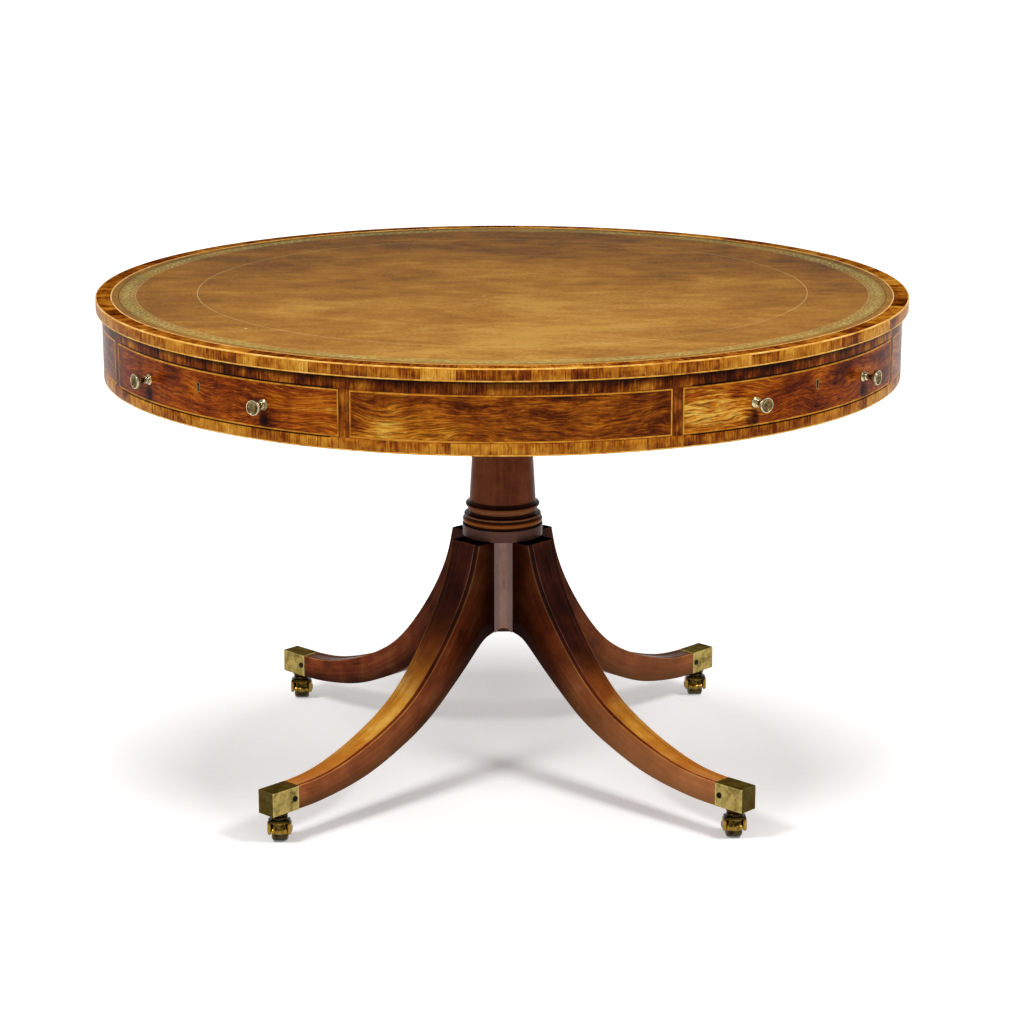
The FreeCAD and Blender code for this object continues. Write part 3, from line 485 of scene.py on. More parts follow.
@dataclass(frozen=True)
class PolishedMahogany(Finish):
    """Mahogany, turned or shaped, stained and French polished.

    The eye sees a deep red brown, softly mottled, with short dark pores and a clear gloss. Arrises
    are paler, partly rubbed and partly painted highlight, and hollows darker, partly dark wax and
    partly painted shade. Toward the toe the upper face of a leg turns golden, partly where light has
    faded it and partly as painted light where the lamps reach past the drum.
    """

    layout: Layout = Layout.DRUM
    streak_mm: float = 11.0
    pore_mm: float = 1.7  # real pores are a fifth of this; as coarse as they need to be to show
    dark: str = "#260B04"
    red: str = "#6A2C14"
    light: str = "#964E24"
    arris: str = "#B8682C"
    rubbed: float = 0.55
    # The golden fade toward the toe: partly faded wood, partly painted light where the lamps reach past the
    # drum
    fading: float = 0.0
    fade_low: float = 0.165
    fade_high: float = 0.300
    # Reach over which painted shade under the drum fades out, and the per-leg painted light that pales the
    # wood further out
    shade_near: float = 0.0
    shade_far: float = 0.0
    lit_outward: float = 0.0
    # Heights and colours of the painted shade and highlights of the turned mouldings
    turnings: tuple[tuple[float, str], ...] = ()
    underside: tuple[float, ...] = ()
    # Painted reflection: grey toward both sides of each rounded strip of the core
    strip_sheen: bool = False
    gloss: bool = True

    def draw(self, tree: Tree) -> None:
        """Draws the polished mahogany, with its faded part where it has one.

        Args:
            tree: Node tree of the finish.
        """
        here = add(tree, "TexCoord").outputs["Object"]
        if self.layout is Layout.MAP:
            place = add(tree, "UVMap", uv_map="grain")
            wide, thin = (*per_mm(95.0, self.streak_mm), 1.0), (*per_mm(9.0, self.pore_mm), 1.0)
        else:
            place = here
            wide = per_mm(self.streak_mm, self.streak_mm, 120.0)
            thin = per_mm(self.pore_mm, self.pore_mm, 10.0)
        streak = figure(tree, place, wide, Detail=3.0, Roughness=0.55, Distortion=0.4)
        pore = figure(tree, place, thin, Detail=1.5, Roughness=0.7)
        cloud = add(tree, "TexNoise", {"Vector": here, "Scale": per_mm(48.0)[0], "Detail": 4.0,
                                       "Roughness": 0.6})
        tone = weigh(tree, -0.01, (cloud, 0.62), (streak, 0.40))
        ramp = add(tree, "ValToRGB", {0: tone}, stops=[(0.30, self.dark), (0.50, self.red),
                                                       (0.70, self.light)])
        if self.fading:
            ramp = self.faded_and_painted_light(tree, here, tone, ramp)
        colour = lay(tree, ramp, self.dark, pore, (0.58, 0.72), (0.0, 0.34))
        # Paler arrises, partly rubbed and partly painted highlight; darker hollows, partly dark wax and
        # partly painted shade
        sharp = add(tree, "NewGeometry").outputs["Pointiness"]
        paler = lay(tree, colour, self.arris, sharp, (0.512, 0.56), (0.0, self.rubbed))
        whole = lay(tree, paler, "#0C0302", sharp, (0.44, 0.488), (0.9, 0.0))
        # Painted shade: darker toward the lower edge of a leg's side
        if self.underside:
            girth, low, high = self.underside
            across = add(tree, "SeparateXYZ", {0: place}).outputs["Y"]
            climb = add(tree, "Math", {0: across, 1: girth * MM / 2}, operation="PINGPONG")
            whole = lay(tree, whole, "#1A0A06", climb, (low * MM, high * MM), (0.80, 0.0), smooth=True)
        # Painted reflection: grey toward both sides of each rounded strip of the core
        if self.strip_sheen:
            parts = add(tree, "VectorMath", {0: here}, operation="ABSOLUTE")
            sides = add(tree, "SeparateXYZ", {0: parts})
            off = add(tree, "Math", {0: sides.outputs["X"], 1: sides.outputs["Y"]}, operation="SUBTRACT")
            away = add(tree, "Math", {0: off}, operation="ABSOLUTE")
            whole = lay(tree, whole, "#8A827E", away, (0.004, 0.013), (0.0, 0.55), smooth=True)
        if self.shade_far:
            whole = self.shaded(tree, here, whole)
        if self.turnings:
            whole = self.turned(tree, here, colour, whole)
        rough = add(tree, "MapRange", {"Value": cloud, "To Min": 0.30, "To Max": 0.20})
        shine = POLISH if self.gloss else WAXED
        close(tree, {"Base Color": whole, "Roughness": rough, **shine}, pore, 0.04)

    def shaded(self, tree: Tree, here: Socket, plain: Node) -> Node:
        """Darkens the wood near the column as painted shade under the drum, and paints it paler further out
        as painted light.

        Args:
            tree: Node tree of the finish.
            here: Socket of the place on the object.
            plain: Node of the colour without it.

        Returns:
            Node of the darkened colour.
        """
        flat = add(tree, "VectorMath", {0: here, 1: (1, 1, 0)}, operation="MULTIPLY")
        reach = add(tree, "VectorMath", {0: flat}, operation="LENGTH").outputs["Value"]
        # Painted light: paler outward by a per-leg amount; then painted shade: near-black close to the column
        lightened = lay(tree, plain, "#CC8A54", reach, (0.13, 0.27), (0.0, self.lit_outward))
        return lay(tree, lightened, "#1A0603", reach, (self.shade_near, self.shade_far), (0.88, 0.0))

    def turned(self, tree: Tree, here: Socket, colour: Node, plain: Node) -> Node:
        """Paints the rings of the turned mouldings by their height: painted shade below them and in their
        hollows, painted highlights on their rounds between.

        Args:
            tree: Node tree of the finish.
            here: Socket of the place on the object.
            colour: Node of the wood's figure.
            plain: Node of the colour without the rings.

        Returns:
            Node of the colour with the rings.
        """
        foot, crown = Pedestal.leg_top * MM, (Pedestal.leg_top + self.turnings[-1][0]) * MM
        height = add(tree, "SeparateXYZ", {0: here}).outputs["Z"]
        share = add(tree, "MapRange", {"Value": height, "From Min": foot, "From Max": crown})
        rings = add(tree, "ValToRGB", {0: share}, stops=[
            (at / self.turnings[-1][0], code) for at, code in self.turnings])
        figured = add(tree, "Mix", {"Factor": 0.16, "A": rings, "B": colour}, data_type="RGBA")
        above = add(tree, "MapRange", {"Value": height, "From Min": crown - 0.002, "From Max": crown + 0.004,
                                       "To Min": 1.0, "To Max": 0.0})
        below = add(tree, "Math", {0: height, 1: foot - 0.001}, operation="GREATER_THAN")
        both = add(tree, "Math", {0: above, 1: below}, operation="MULTIPLY")
        return add(tree, "Mix", {"Factor": both, "A": plain, "B": figured}, data_type="RGBA")

    def faded_and_painted_light(self, tree: Tree, here: Socket, tone: Node, ramp: Node) -> Node:
        """Fades the colour to gold where the leg levels out toward its toe: partly faded wood, partly painted
        light where the lamps reach past the drum.

        Args:
            tree: Node tree of the finish.
            here: Socket of the place on the object.
            tone: Node of the wood's tone.
            ramp: Node of the wood's colour.

        Returns:
            Node of the faded colour.
        """
        height = add(tree, "SeparateXYZ", {0: here}).outputs["Z"]
        patch = add(tree, "TexNoise", {"Vector": here, "Scale": per_mm(30.0)[0], "Detail": 4.0})
        uneven = weigh(tree, height, (patch, 0.05))
        tan = lay(tree, ramp, "#A0541C", uneven, (self.fade_low + 0.02, self.fade_high + 0.03),
                  (0.85 * self.fading, 0.0), smooth=True)
        low = add(tree, "MapRange", {"Value": uneven, "From Min": self.fade_low - 0.01,
                                     "From Max": self.fade_high - 0.04, "To Min": self.fading, "To Max": 0.0},
                  interpolation_type="SMOOTHSTEP")
        pale = add(tree, "ValToRGB", {0: tone}, stops=[(0.30, "#B06A22"), (0.50, "#DA9834"),
                                                       (0.66, "#F0C464")])
        brown = lay(tree, pale, "#B4641C", uneven, (0.120, 0.150), (0.8, 0.0))
        return add(tree, "Mix", {"Factor": low, "A": tan, "B": brown}, data_type="RGBA")


@dataclass(frozen=True)
class BoxwoodString(Finish):
    """Boxwood stringing, scraped flush and French polished, which reads as an even honey line."""

    fleck_mm: float = 9.0
    low: str = "#A8681C"
    middle: str = "#E0A240"
    high: str = "#F2C870"

    def draw(self, tree: Tree) -> None:
        """Draws the polished stringing.

        Args:
            tree: Node tree of the finish.
        """
        here = add(tree, "TexCoord").outputs["Object"]
        fleck = add(tree, "TexNoise", {"Vector": here, "Scale": per_mm(self.fleck_mm)[0], "Detail": 4.0})
        wash = add(tree, "TexNoise", {"Vector": here, "Scale": per_mm(70.0)[0], "Detail": 2.0})
        both = weigh(tree, -0.05, (wash, 0.55), (fleck, 0.55))
        ramp = add(tree, "ValToRGB", {0: both}, stops=[(0.32, self.low), (0.48, self.middle),
                                                       (0.68, self.high)])
        close(tree, {"Base Color": ramp, "Roughness": 0.26, **POLISH}, fleck, 0.03)


@dataclass(frozen=True)
class PlanedBoard(Finish):
    """Board of oak or mahogany, planed and left bare, with matt open grain along its length."""

    grain: Grain = Grain.X
    early: str = "#8C6234"
    late: str = "#B58B55"
    ring_mm: float = 5.0
    ray_mm: float = 1.6  # as coarse as the pores need to be to show

    def draw(self, tree: Tree) -> None:
        """Draws the bare board.

        Args:
            tree: Node tree of the finish.
        """
        here = add(tree, "TexCoord").outputs["Object"]
        across = [1 / (self.ring_mm * MM) if along else 1 / (160 * MM) for along in self.grain.value]
        fine = [1 / (self.ray_mm * MM) if along else 1 / (22 * MM) for along in self.grain.value]
        ring = figure(tree, here, across, Detail=3.0, Distortion=0.6)
        pore = figure(tree, here, fine, Detail=2.0, Roughness=0.7)
        both = weigh(tree, ring, (pore, 0.35))
        ramp = add(tree, "ValToRGB", {0: both}, stops=[(0.45, self.early), (0.85, self.late)])
        soil = add(tree, "TexNoise", {"Vector": here, "Scale": per_mm(120.0)[0], "Detail": 3.0})
        colour = lay(tree, ramp, "#5A3A1C", soil, (0.5, 0.8), (0.0, 0.35))
        close(tree, {"Base Color": colour, "Roughness": 0.62, "IOR": 1.45, "Specular IOR Level": 0.12}, pore,
              0.10)


@dataclass(frozen=True)
class LeatherMark:
    """A small blemish on the leather: its place, size and colour."""

    x: float
    y: float
    size_mm: float
    colour: str
    strength: float


@dataclass(frozen=True)
class TooledLeather(Finish):
    """Calf hide, dyed olive brown, waxed, with a border of worn gold tooling.

    The eye sees soft clouds of wear, a fine pebble under a low sheen, two sunk lines and between
    them a leafy border of which only greenish traces of gold are left.
    """

    pebble_mm: float = 2.2  # real pebbles are half of this; as coarse as they need to be to show
    leaves: int = 210
    outer_line: float = 0.5745  # radii of the tooled circles and of the border's stem and toothed edge
    stem: float = 0.5635
    teeth: float = 0.5515
    border_line: float = 0.5495
    inner_line: float = 0.4580
    marks: tuple[LeatherMark, ...] = ()

    def draw(self, tree: Tree) -> None:
        """Draws the leather and its tooling.

        Args:
            tree: Node tree of the finish.
        """
        here = add(tree, "TexCoord").outputs["Object"]
        drift = add(tree, "VectorRotate", {"Vector": here, "Angle": -math.radians(Studio.azimuth_deg)},
                    rotation_type="Z_AXIS")
        cloud = figure(tree, drift, per_mm(190.0, 120.0, 1000.0), Detail=4.0, Roughness=0.55, Distortion=0.6)
        streak = figure(tree, drift, per_mm(48.0, 24.0, 1000.0), Detail=4.0, Roughness=0.6)
        pebble = add(tree, "TexVoronoi", {"Vector": here, "Scale": per_mm(self.pebble_mm)[0]})
        fine = add(tree, "TexNoise", {"Vector": here, "Scale": per_mm(6.0)[0], "Detail": 4.0,
                                      "Roughness": 0.7})
        second = weigh(tree, 0.02, (cloud, 0.62), (streak, 0.44), (fine, 0.46))
        # Painted shade: the leather darkens with distance from a point on the side toward the camera
        apart = add(tree, "VectorMath", {0: drift, 1: (0.0, -0.30, 0.76)}, operation="DISTANCE")
        aged = add(tree, "MapRange", {"Value": apart.outputs["Value"], "From Min": 0.20, "From Max": 0.85,
                                      "To Min": 0.05, "To Max": -0.23})
        tone = add(tree, "Math", {0: second, 1: aged}, operation="ADD")
        ramp = add(tree, "ValToRGB", {0: tone}, stops=[
            (0.46, "#5C3812"), (0.62, "#84551D"), (0.78, "#9E6B29"), (0.96, "#B8893F")])
        flat = add(tree, "VectorMath", {0: here, 1: (1, 1, 0)}, operation="MULTIPLY")
        reach = add(tree, "VectorMath", {0: flat}, operation="LENGTH").outputs["Value"]
        gold = self.border(tree, here, reach, fine)
        green = add(tree, "MapRange", {"Value": reach, "From Min": self.border_line + 0.0005,
                                       "From Max": self.border_line + 0.0055, "To Max": 0.30})
        inner = add(tree, "MapRange", {"Value": reach, "From Min": self.outer_line - 0.001,
                                       "From Max": self.outer_line, "To Min": 1.0, "To Max": 0.30})
        olive = add(tree, "Math", {0: green, 1: inner}, operation="MULTIPLY")
        dyed = add(tree, "Mix", {"Factor": olive, "A": ramp, "B": "#9A8E48"}, data_type="RGBA")
        bordered = add(tree, "Mix", {"Factor": gold, "A": dyed, "B": "#BDB470"}, data_type="RGBA")
        bordered = self.line(tree, reach, self.outer_line, 0.0008, 0.75, "#4E3512", bordered)
        bordered = self.line(tree, reach, self.border_line, 0.0008, 0.40, "#CFBE7C", bordered)
        bordered = self.line(tree, reach, self.inner_line, 0.0007, 0.60, "#D2B47C", bordered)
        for mark in self.marks:
            apart = add(tree, "VectorMath", {0: flat, 1: (mark.x, mark.y, 0)}, operation="DISTANCE")
            away = apart.outputs["Value"]
            size = mark.size_mm * MM
            bordered = lay(tree, bordered, mark.colour, away, (0.35 * size, size), (mark.strength, 0.0))
        rough = add(tree, "MapRange", {"Value": tone, "From Min": 0.5, "From Max": 1.0, "To Min": 0.62,
                                       "To Max": 0.72})
        stamped = weigh(tree, pebble.outputs["Distance"], (fine, 0.7), (gold, -1.2))
        close(tree, {"Base Color": bordered, "Roughness": rough, "IOR": 1.48, "Specular IOR Level": 0.04},
              stamped, 0.10)

    def line(self, tree: Tree, reach: Socket, radius: float, half: float, strength: float,
             ink: str, under: Node) -> Node:
        """Draws a tooled circle.

        Args:
            tree: Node tree of the finish.
            reach: Socket of the distance from the axis.
            radius: Radius of the circle.
            half: Half of the line's width.
            strength: How much of the ink shows.
            ink: Colour of the line.
            under: Node of the colour under it.

        Returns:
            Node of the colour with the line.
        """
        shy = add(tree, "Math", {0: reach, 1: radius}, operation="SUBTRACT")
        off = add(tree, "Math", {0: shy}, operation="ABSOLUTE")
        return lay(tree, under, ink, off, (0.5 * half, 1.3 * half), (strength, 0.0))

    def border(self, tree: Tree, here: Socket, reach: Socket, wear: Node) -> Node:
        """Draws the leafy border: a waving stem with slanting leaves and a toothed inner edge.

        Args:
            tree: Node tree of the finish.
            here: Socket of the place on the object.
            reach: Socket of the distance from the axis.
            wear: Node of the noise that rubs the gold away.

        Returns:
            Node that is one on gold and nought elsewhere.
        """
        parts = add(tree, "SeparateXYZ", {0: here})
        angle = add(tree, "Math", {0: parts.outputs["Y"], 1: parts.outputs["X"]}, operation="ARCTAN2")
        turns = add(tree, "Math", {0: angle, 1: self.leaves / math.tau}, operation="MULTIPLY")
        wave = add(tree, "Math", {0: angle, 1: float(self.leaves)}, operation="MULTIPLY")
        swing = add(tree, "Math", {0: wave}, operation="SINE")
        stem = weigh(tree, self.stem, (swing, 0.0035))
        from_stem = add(tree, "Math", {0: reach, 1: stem}, operation="SUBTRACT")
        off = add(tree, "Math", {0: from_stem}, operation="ABSOLUTE")
        on_stem = add(tree, "MapRange", {"Value": off, "From Min": 0.0005, "From Max": 0.0014, "To Min": 1.0,
                                         "To Max": 0.0})
        slant = weigh(tree, turns, (from_stem, 85.0))
        twice = add(tree, "Math", {0: slant, 1: 3.0}, operation="MULTIPLY")
        fan = add(tree, "Math", {0: twice, 1: 1.0}, operation="PINGPONG")
        leaf = add(tree, "MapRange", {"Value": fan, "From Min": 0.56, "From Max": 0.76})
        close_by = add(tree, "MapRange", {"Value": off, "From Min": 0.0048, "From Max": 0.0062, "To Min": 1.0,
                                          "To Max": 0.0})
        leafy = add(tree, "Math", {0: leaf, 1: close_by}, operation="MULTIPLY")
        tooth = add(tree, "Math", {0: turns, 1: 0.5}, operation="PINGPONG")
        edge = weigh(tree, self.teeth, (tooth, 0.009))
        to_edge = add(tree, "Math", {0: reach, 1: edge}, operation="SUBTRACT")
        shy = add(tree, "Math", {0: to_edge}, operation="ABSOLUTE")
        toothed = add(tree, "MapRange", {"Value": shy, "From Min": 0.0004, "From Max": 0.0012, "To Min": 1.0,
                                         "To Max": 0.0})
        most = add(tree, "Math", {0: on_stem, 1: leafy}, operation="MAXIMUM")
        whole = add(tree, "Math", {0: most, 1: toothed}, operation="MAXIMUM")
        large = add(tree, "TexNoise", {"Vector": here, "Scale": per_mm(55.0)[0], "Detail": 2.0})
        rubbed = add(tree, "Math", {0: large, 1: wear}, operation="ADD")
        left = add(tree, "MapRange", {"Value": rubbed, "From Min": 0.84, "From Max": 1.16, "To Min": 0.18,
                                      "To Max": 0.82})
        return add(tree, "Math", {0: whole, 1: left}, operation="MULTIPLY")


@dataclass(frozen=True)
class CastBrass(Finish):
    """Brass, cast and filed, long unpolished or rubbed by hands.

    The eye sees a dull yellow metal with brown and olive tarnish in clouds, small pits, dark wax in
    its hollows, darker faces that look up, painted shade on faces that look out from the axis, and
    paler metal on the edges that get rubbed.
    """

    clean: str = "#A8924E"
    tarnish: str = "#4A3E1C"
    spread: float = 0.5
    roughness: float = 0.42
    cloud_mm: float = 11.0
    pit_mm: float = 1.8  # as coarse as the pits need to be to show
    edges: str = "#B5A25C"
    topside: float = 0.0
    endways: float = 0.0
    tinge: str = "#FFFFFF"
    hollow: float = 0.6
    grime_and_shade_from: float = 0.0
    grime_and_shade_to: float = 0.0

    def draw(self, tree: Tree) -> None:
        """Draws the tarnished brass.

        Args:
            tree: Node tree of the finish.
        """
        here = add(tree, "TexCoord")
        spot = here.outputs["Object"]
        cloud = add(tree, "TexNoise", {"Vector": spot, "Scale": per_mm(self.cloud_mm)[0], "Detail": 5.0,
                                       "Roughness": 0.65})
        pit = add(tree, "TexNoise", {"Vector": spot, "Scale": per_mm(self.pit_mm)[0], "Detail": 2.0})
        colour = lay(tree, self.clean, self.tarnish, cloud, (self.spread - 0.14, self.spread + 0.14))
        sharp = add(tree, "NewGeometry").outputs["Pointiness"]
        worn = lay(tree, colour, self.edges, sharp, (0.515, 0.56), (0.0, 0.6))
        waxed = lay(tree, worn, "#120C04", sharp, (0.43, 0.49), (self.hollow, 0.0))
        # Darker on faces that look up
        if self.topside:
            up = add(tree, "SeparateXYZ", {0: here.outputs["Normal"]}).outputs["Z"]
            waxed = lay(tree, waxed, "#2C2210", up, (0.6, 0.95), (0.0, self.topside))
        # Painted shade on faces that look out from the axis, such as the ends of the toe caps
        if self.endways:
            flat = add(tree, "VectorMath", {0: spot, 1: (1.0, 1.0, 0.0)}, operation="MULTIPLY")
            outward = add(tree, "VectorMath", {0: flat}, operation="NORMALIZE")
            faces = add(tree, "VectorMath", {0: outward, 1: here.outputs["Normal"]},
                        operation="DOT_PRODUCT").outputs["Value"]
            waxed = lay(tree, waxed, "#2A200C", faces, (0.6, 0.95), (0.0, self.endways))
        # Darker above a height: partly grime, partly painted shade under the toe cap
        if self.grime_and_shade_to:
            height = add(tree, "SeparateXYZ", {0: spot}).outputs["Z"]
            waxed = lay(tree, waxed, "#0A0603", height, (self.grime_and_shade_from, self.grime_and_shade_to), (0.0, 0.9))
        spotted = lay(tree, waxed, "#1E170A", pit, (0.62, 0.72), (0.0, 0.7))
        rough = add(tree, "MapRange", {"Value": cloud, "From Min": 0.3, "From Max": 0.7,
                                       "To Min": self.roughness - 0.12, "To Max": self.roughness + 0.14})
        relief = weigh(tree, cloud, (pit, 0.5))
        close(tree, {"Base Color": spotted, "Metallic": 1.0, "Roughness": rough, "Specular Tint": self.tinge},
              relief, 0.10)


@dataclass(frozen=True)
class ForgedIron(Finish):
    """Wrought iron, forged and oiled, which reads as a near-black metal with a soft uneven shine."""

    scale_mm: float = 3.0
    dark: str = "#2A2724"
    middle: str = "#4A4540"
    rusty: str = "#5E4A3A"

    def draw(self, tree: Tree) -> None:
        """Draws the forged iron.

        Args:
            tree: Node tree of the finish.
        """
        here = add(tree, "TexCoord").outputs["Object"]
        skin = add(tree, "TexNoise", {"Vector": here, "Scale": per_mm(self.scale_mm)[0], "Detail": 4.0})
        ramp = add(tree, "ValToRGB", {0: skin}, stops=[(0.35, self.dark), (0.60, self.middle),
                                                       (0.75, self.rusty)])
        rough = add(tree, "MapRange", {"Value": skin, "To Min": 0.35, "To Max": 0.65})
        close(tree, {"Base Color": ramp, "Metallic": 1.0, "Roughness": rough}, skin, 0.08)


# Drawing of meshes


class Draft:
    """Points, faces and grain map of one piece while it is drawn, in millimetres."""

    def __init__(self) -> None:
        """Starts an empty piece."""
        self.points: list[Vector] = []
        self.faces: list[tuple[int, ...]] = []
        self.maps: list[list[Point2]] = []
        self.slots: list[int] = []

    def skin(self, rows: Sequence[Sequence[Vector]], along: Sequence[float], across: Sequence[float],
             ring_rows: bool = False, ring_points: bool = False,
             slot_of: Optional[Callable[[int, int], int]] = None) -> None:
        """Joins rows of points into a skin of quads.

        Args:
            rows: Rows with equally many points each.
            along: Grain map of the rows, with one value more where the rows close into a ring.
            across: Grain map of the points, with one value more where each row closes.
            ring_rows: Whether the last row joins the first.
            ring_points: Whether each row is a closed loop.
            slot_of: Gives the material slot of the quad at a row and point.
        """
        first = len(self.points)
        wide = len(rows[0])
        for row in rows:
            self.points.extend(row)
        for i in range(len(rows) if ring_rows else len(rows) - 1):
            for j in range(wide if ring_points else wide - 1):
                p, q = (i + 1) % len(rows), (j + 1) % wide
                self.faces.append((first + i * wide + j, first + p * wide + j, first + p * wide + q,
                                   first + i * wide + q))
                self.maps.append([(along[i], across[j]), (along[i + 1], across[j]),
                                  (along[i + 1], across[j + 1]), (along[i], across[j + 1])])
                self.slots.append(slot_of(i, j) if slot_of else 0)

    def lid(self, loop: Sequence[Vector]) -> None:
        """Closes a loop of points with one face.

        Args:
            loop: Points of the loop.
        """
        first = len(self.points)
        self.points.extend(loop)
        self.faces.append(tuple(range(first, first + len(loop))))
        self.maps.append([(p.x, p.y) for p in loop])
        self.slots.append(0)

    def turned(self, profile: Sequence[Point2], steps: int, start_deg: float = 0.0,
               place: Optional[Matrix] = None, shape: Optional[Callable[[float, float], float]] = None,
               slot_of: Optional[Callable[[int, int], int]] = None) -> None:
        """Turns a closed outline of radius and height about the upright axis.

        Args:
            profile: Points of radius and height.
            steps: Steps of the turn.
            start_deg: Angle of the first step.
            place: Where the turned piece goes.
            shape: Gives the change of a radius at an angle, for milled or reeded work.
            slot_of: Gives the material slot at a step and a point of the profile.
        """
        widest = max(r for r, _ in profile)
        rows, along = [], []
        for i in range(steps + 1):
            angle = math.radians(start_deg + 360.0 * i / steps)
            along.append(widest * (angle - math.radians(start_deg)))
            if i == steps:
                break
            row = []
            for r, z in profile:
                radius = r + (shape(angle, r) if shape else 0.0)
                point = Vector((radius * math.cos(angle), radius * math.sin(angle), z))
                row.append(place @ point if place else point)
            rows.append(row)
        self.skin(rows, along, girths(profile), ring_rows=True, ring_points=True, slot_of=slot_of)

    def barrel(self, rows: Sequence[Sequence[Vector]], along: Sequence[float],
               across: Sequence[float]) -> None:
        """Joins closed rows into a skin and closes both of its ends.

        Args:
            rows: Rows of points.
            along: Grain map of the rows.
            across: Grain map of the points, with one value more than a row has.
        """
        self.skin(rows, along, across, ring_points=True)
        self.lid(rows[0])
        self.lid(rows[-1])

    def prism(self, outline: Sequence[Point2], low: float, high: float, place: Matrix,
              ease: float = 0.4) -> None:
        """Cuts a plate to an outline of x and z, thick along y, with eased edges.

        Args:
            outline: Points of x and z.
            low: One face of the plate.
            high: The other face.
            place: Where the plate goes.
            ease: Width of the easing.
        """
        small = inset(outline, ease)
        rows = []
        for shape, y in ((small, low), (outline, low + ease), (outline, high - ease), (small, high)):
            rows.append([place @ Vector((x, y, z)) for x, z in shape])
        self.barrel(rows, [0.0, ease, high - low - ease, high - low], girths(outline))

    def stand(self, name: str, finishes: Sequence[Finish]) -> bpy.types.Object:
        """Puts the draft in the scene as a clean mesh in metres, with its grain map and finishes.

        Args:
            name: Name of the mesh and object.
            finishes: Finishes by material slot.

        Returns:
            The new object.
        """
        mesh = bpy.data.meshes.new(name)
        mesh.from_pydata([p * MM for p in self.points], [], self.faces)
        layer = mesh.uv_layers.new(name="grain")
        layer.data.foreach_set("uv", np.array([c for m in self.maps for uv in m for c in uv],
                                              np.float32) * MM)
        mesh.polygons.foreach_set("material_index", self.slots)
        for finish in finishes:
            mesh.materials.append(finish.material())
        work = bmesh.new()
        work.from_mesh(mesh)
        bmesh.ops.remove_doubles(work, verts=work.verts, dist=2e-6)
        bmesh.ops.dissolve_degenerate(work, edges=work.edges, dist=1e-6)
        bmesh.ops.recalc_face_normals(work, faces=work.faces)
        work.to_mesh(mesh)
        work.free()
        return place_in_scene(name, mesh)

    def build(self, name: str, finishes: Sequence[Finish], body: str, slot: str, nodes: Sequence[str] = (),
              sharp_deg: float = 32.0) -> bpy.types.Object:
        """Makes the piece in metres, dresses it and sets it on its body.

        Args:
            name: Name of the piece.
            finishes: Finishes by material slot.
            body: Body that it rides on.
            slot: Slot of a record; not used.
            nodes: Solids that it stands for.
            sharp_deg: Angle above which an edge stays sharp.

        Returns:
            The new object.
        """
        piece = self.stand(name, finishes)
        piece.data.shade_smooth()
        piece.data.set_sharp_from_angle(angle=math.radians(sharp_deg))
        if nodes:
            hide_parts(*nodes)
        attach(piece, body)
        log.info("%s: %d faces on %s", name, len(piece.data.polygons), body)
        return piece


def place_in_scene(name: str, data: bpy.types.ID) -> bpy.types.Object:
    """Makes an object of a mesh, lamp or camera and links it to the scene.

    Args:
        name: Name of the object.
        data: Its mesh, lamp or camera.

    Returns:
        The new object.
    """
    made = bpy.data.objects.new(name, data)
    bpy.context.scene.collection.objects.link(made)
    return made


def girths(loop: Sequence[Sequence[float]]) -> list[float]:
    """Measures round a closed loop.

    Args:
        loop: Points of the loop.

    Returns:
        Lengths from the first point to each point, and back to the first.
    """
    made = [0.0]
    for a, b in zip(loop, [*loop[1:], loop[0]]):
        made.append(made[-1] + math.dist(a, b))
    return made


def rounded(corners: Sequence[tuple[float, float, float]], steps: int = 4) -> list[Point2]:
    """Rounds the corners of a closed outline.

    Args:
        corners: Points with the radius of their rounding.
        steps: Steps of each rounding.

    Returns:
        Points of the rounded outline.
    """
    made: list[Point2] = []
    for i, (x, y, radius) in enumerate(corners):
        here = Vector((x, y))
        if radius <= 0:
            made.append((x, y))
            continue
        before = (Vector(corners[i - 1][:2]) - here).normalized()
        after = (Vector(corners[(i + 1) % len(corners)][:2]) - here).normalized()
        half = before.angle(after) / 2
        centre = here + (before + after).normalized() * radius / math.sin(half)
        start = here + before * radius / math.tan(half) - centre
        end = here + after * radius / math.tan(half) - centre
        for k in range(steps + 1):
            arm = start.slerp(end, k / steps) if start.angle(end) > 1e-4 else start
            made.append(tuple(centre + arm.normalized() * radius))
    return made


def inset(outline: Sequence[Point2], by: float) -> list[Point2]:
    """Moves a closed outline inward.

    Args:
        outline: Points of the outline.
        by: How far it moves.

    Returns:
        Points of the smaller outline.
    """
    area = sum(a[0] * b[1] - b[0] * a[1] for a, b in zip(outline, [*outline[1:], outline[0]]))
    turn = 1.0 if area > 0 else -1.0
    made = []
    for i, point in enumerate(outline):
        before = (Vector(point) - Vector(outline[i - 1])).normalized()
        after = (Vector(outline[(i + 1) % len(outline)]) - Vector(point)).normalized()
        inward = Vector((-(before.y + after.y), before.x + after.x)) * turn
        inward.normalize()
        share = max(0.35, inward.dot(Vector((-before.y, before.x)) * turn))
        made.append((point[0] + inward.x * by / share, point[1] + inward.y * by / share))
    return made


def arc(start: Point2, middle: Point2, end: Point2, steps: int = 8) -> list[Point2]:
    """Points of the arc through three points, both ends with it.

    Args:
        start: First point.
        middle: A point on the way.
        end: Last point.
        steps: Steps of the arc.

    Returns:
        The points.
    """
    (ax, ay), (bx, by), (cx, cy) = start, middle, end
    d = 2 * (ax * (by - cy) + bx * (cy - ay) + cx * (ay - by))
    sa, sb, sc = ax * ax + ay * ay, bx * bx + by * by, cx * cx + cy * cy
    x = (sa * (by - cy) + sb * (cy - ay) + sc * (ay - by)) / d
    y = (sa * (cx - bx) + sb * (ax - cx) + sc * (bx - ax)) / d
    radius = math.dist((x, y), start)
    a, b, c = [math.atan2(q - y, p - x) for p, q in (start, middle, end)]
    sweep = (c - a) % math.tau
    if (b - a) % math.tau > sweep:
        sweep -= math.tau
    return [(x + radius * math.cos(a + sweep * k / steps), y + radius * math.sin(a + sweep * k / steps))
            for k in range(steps + 1)]


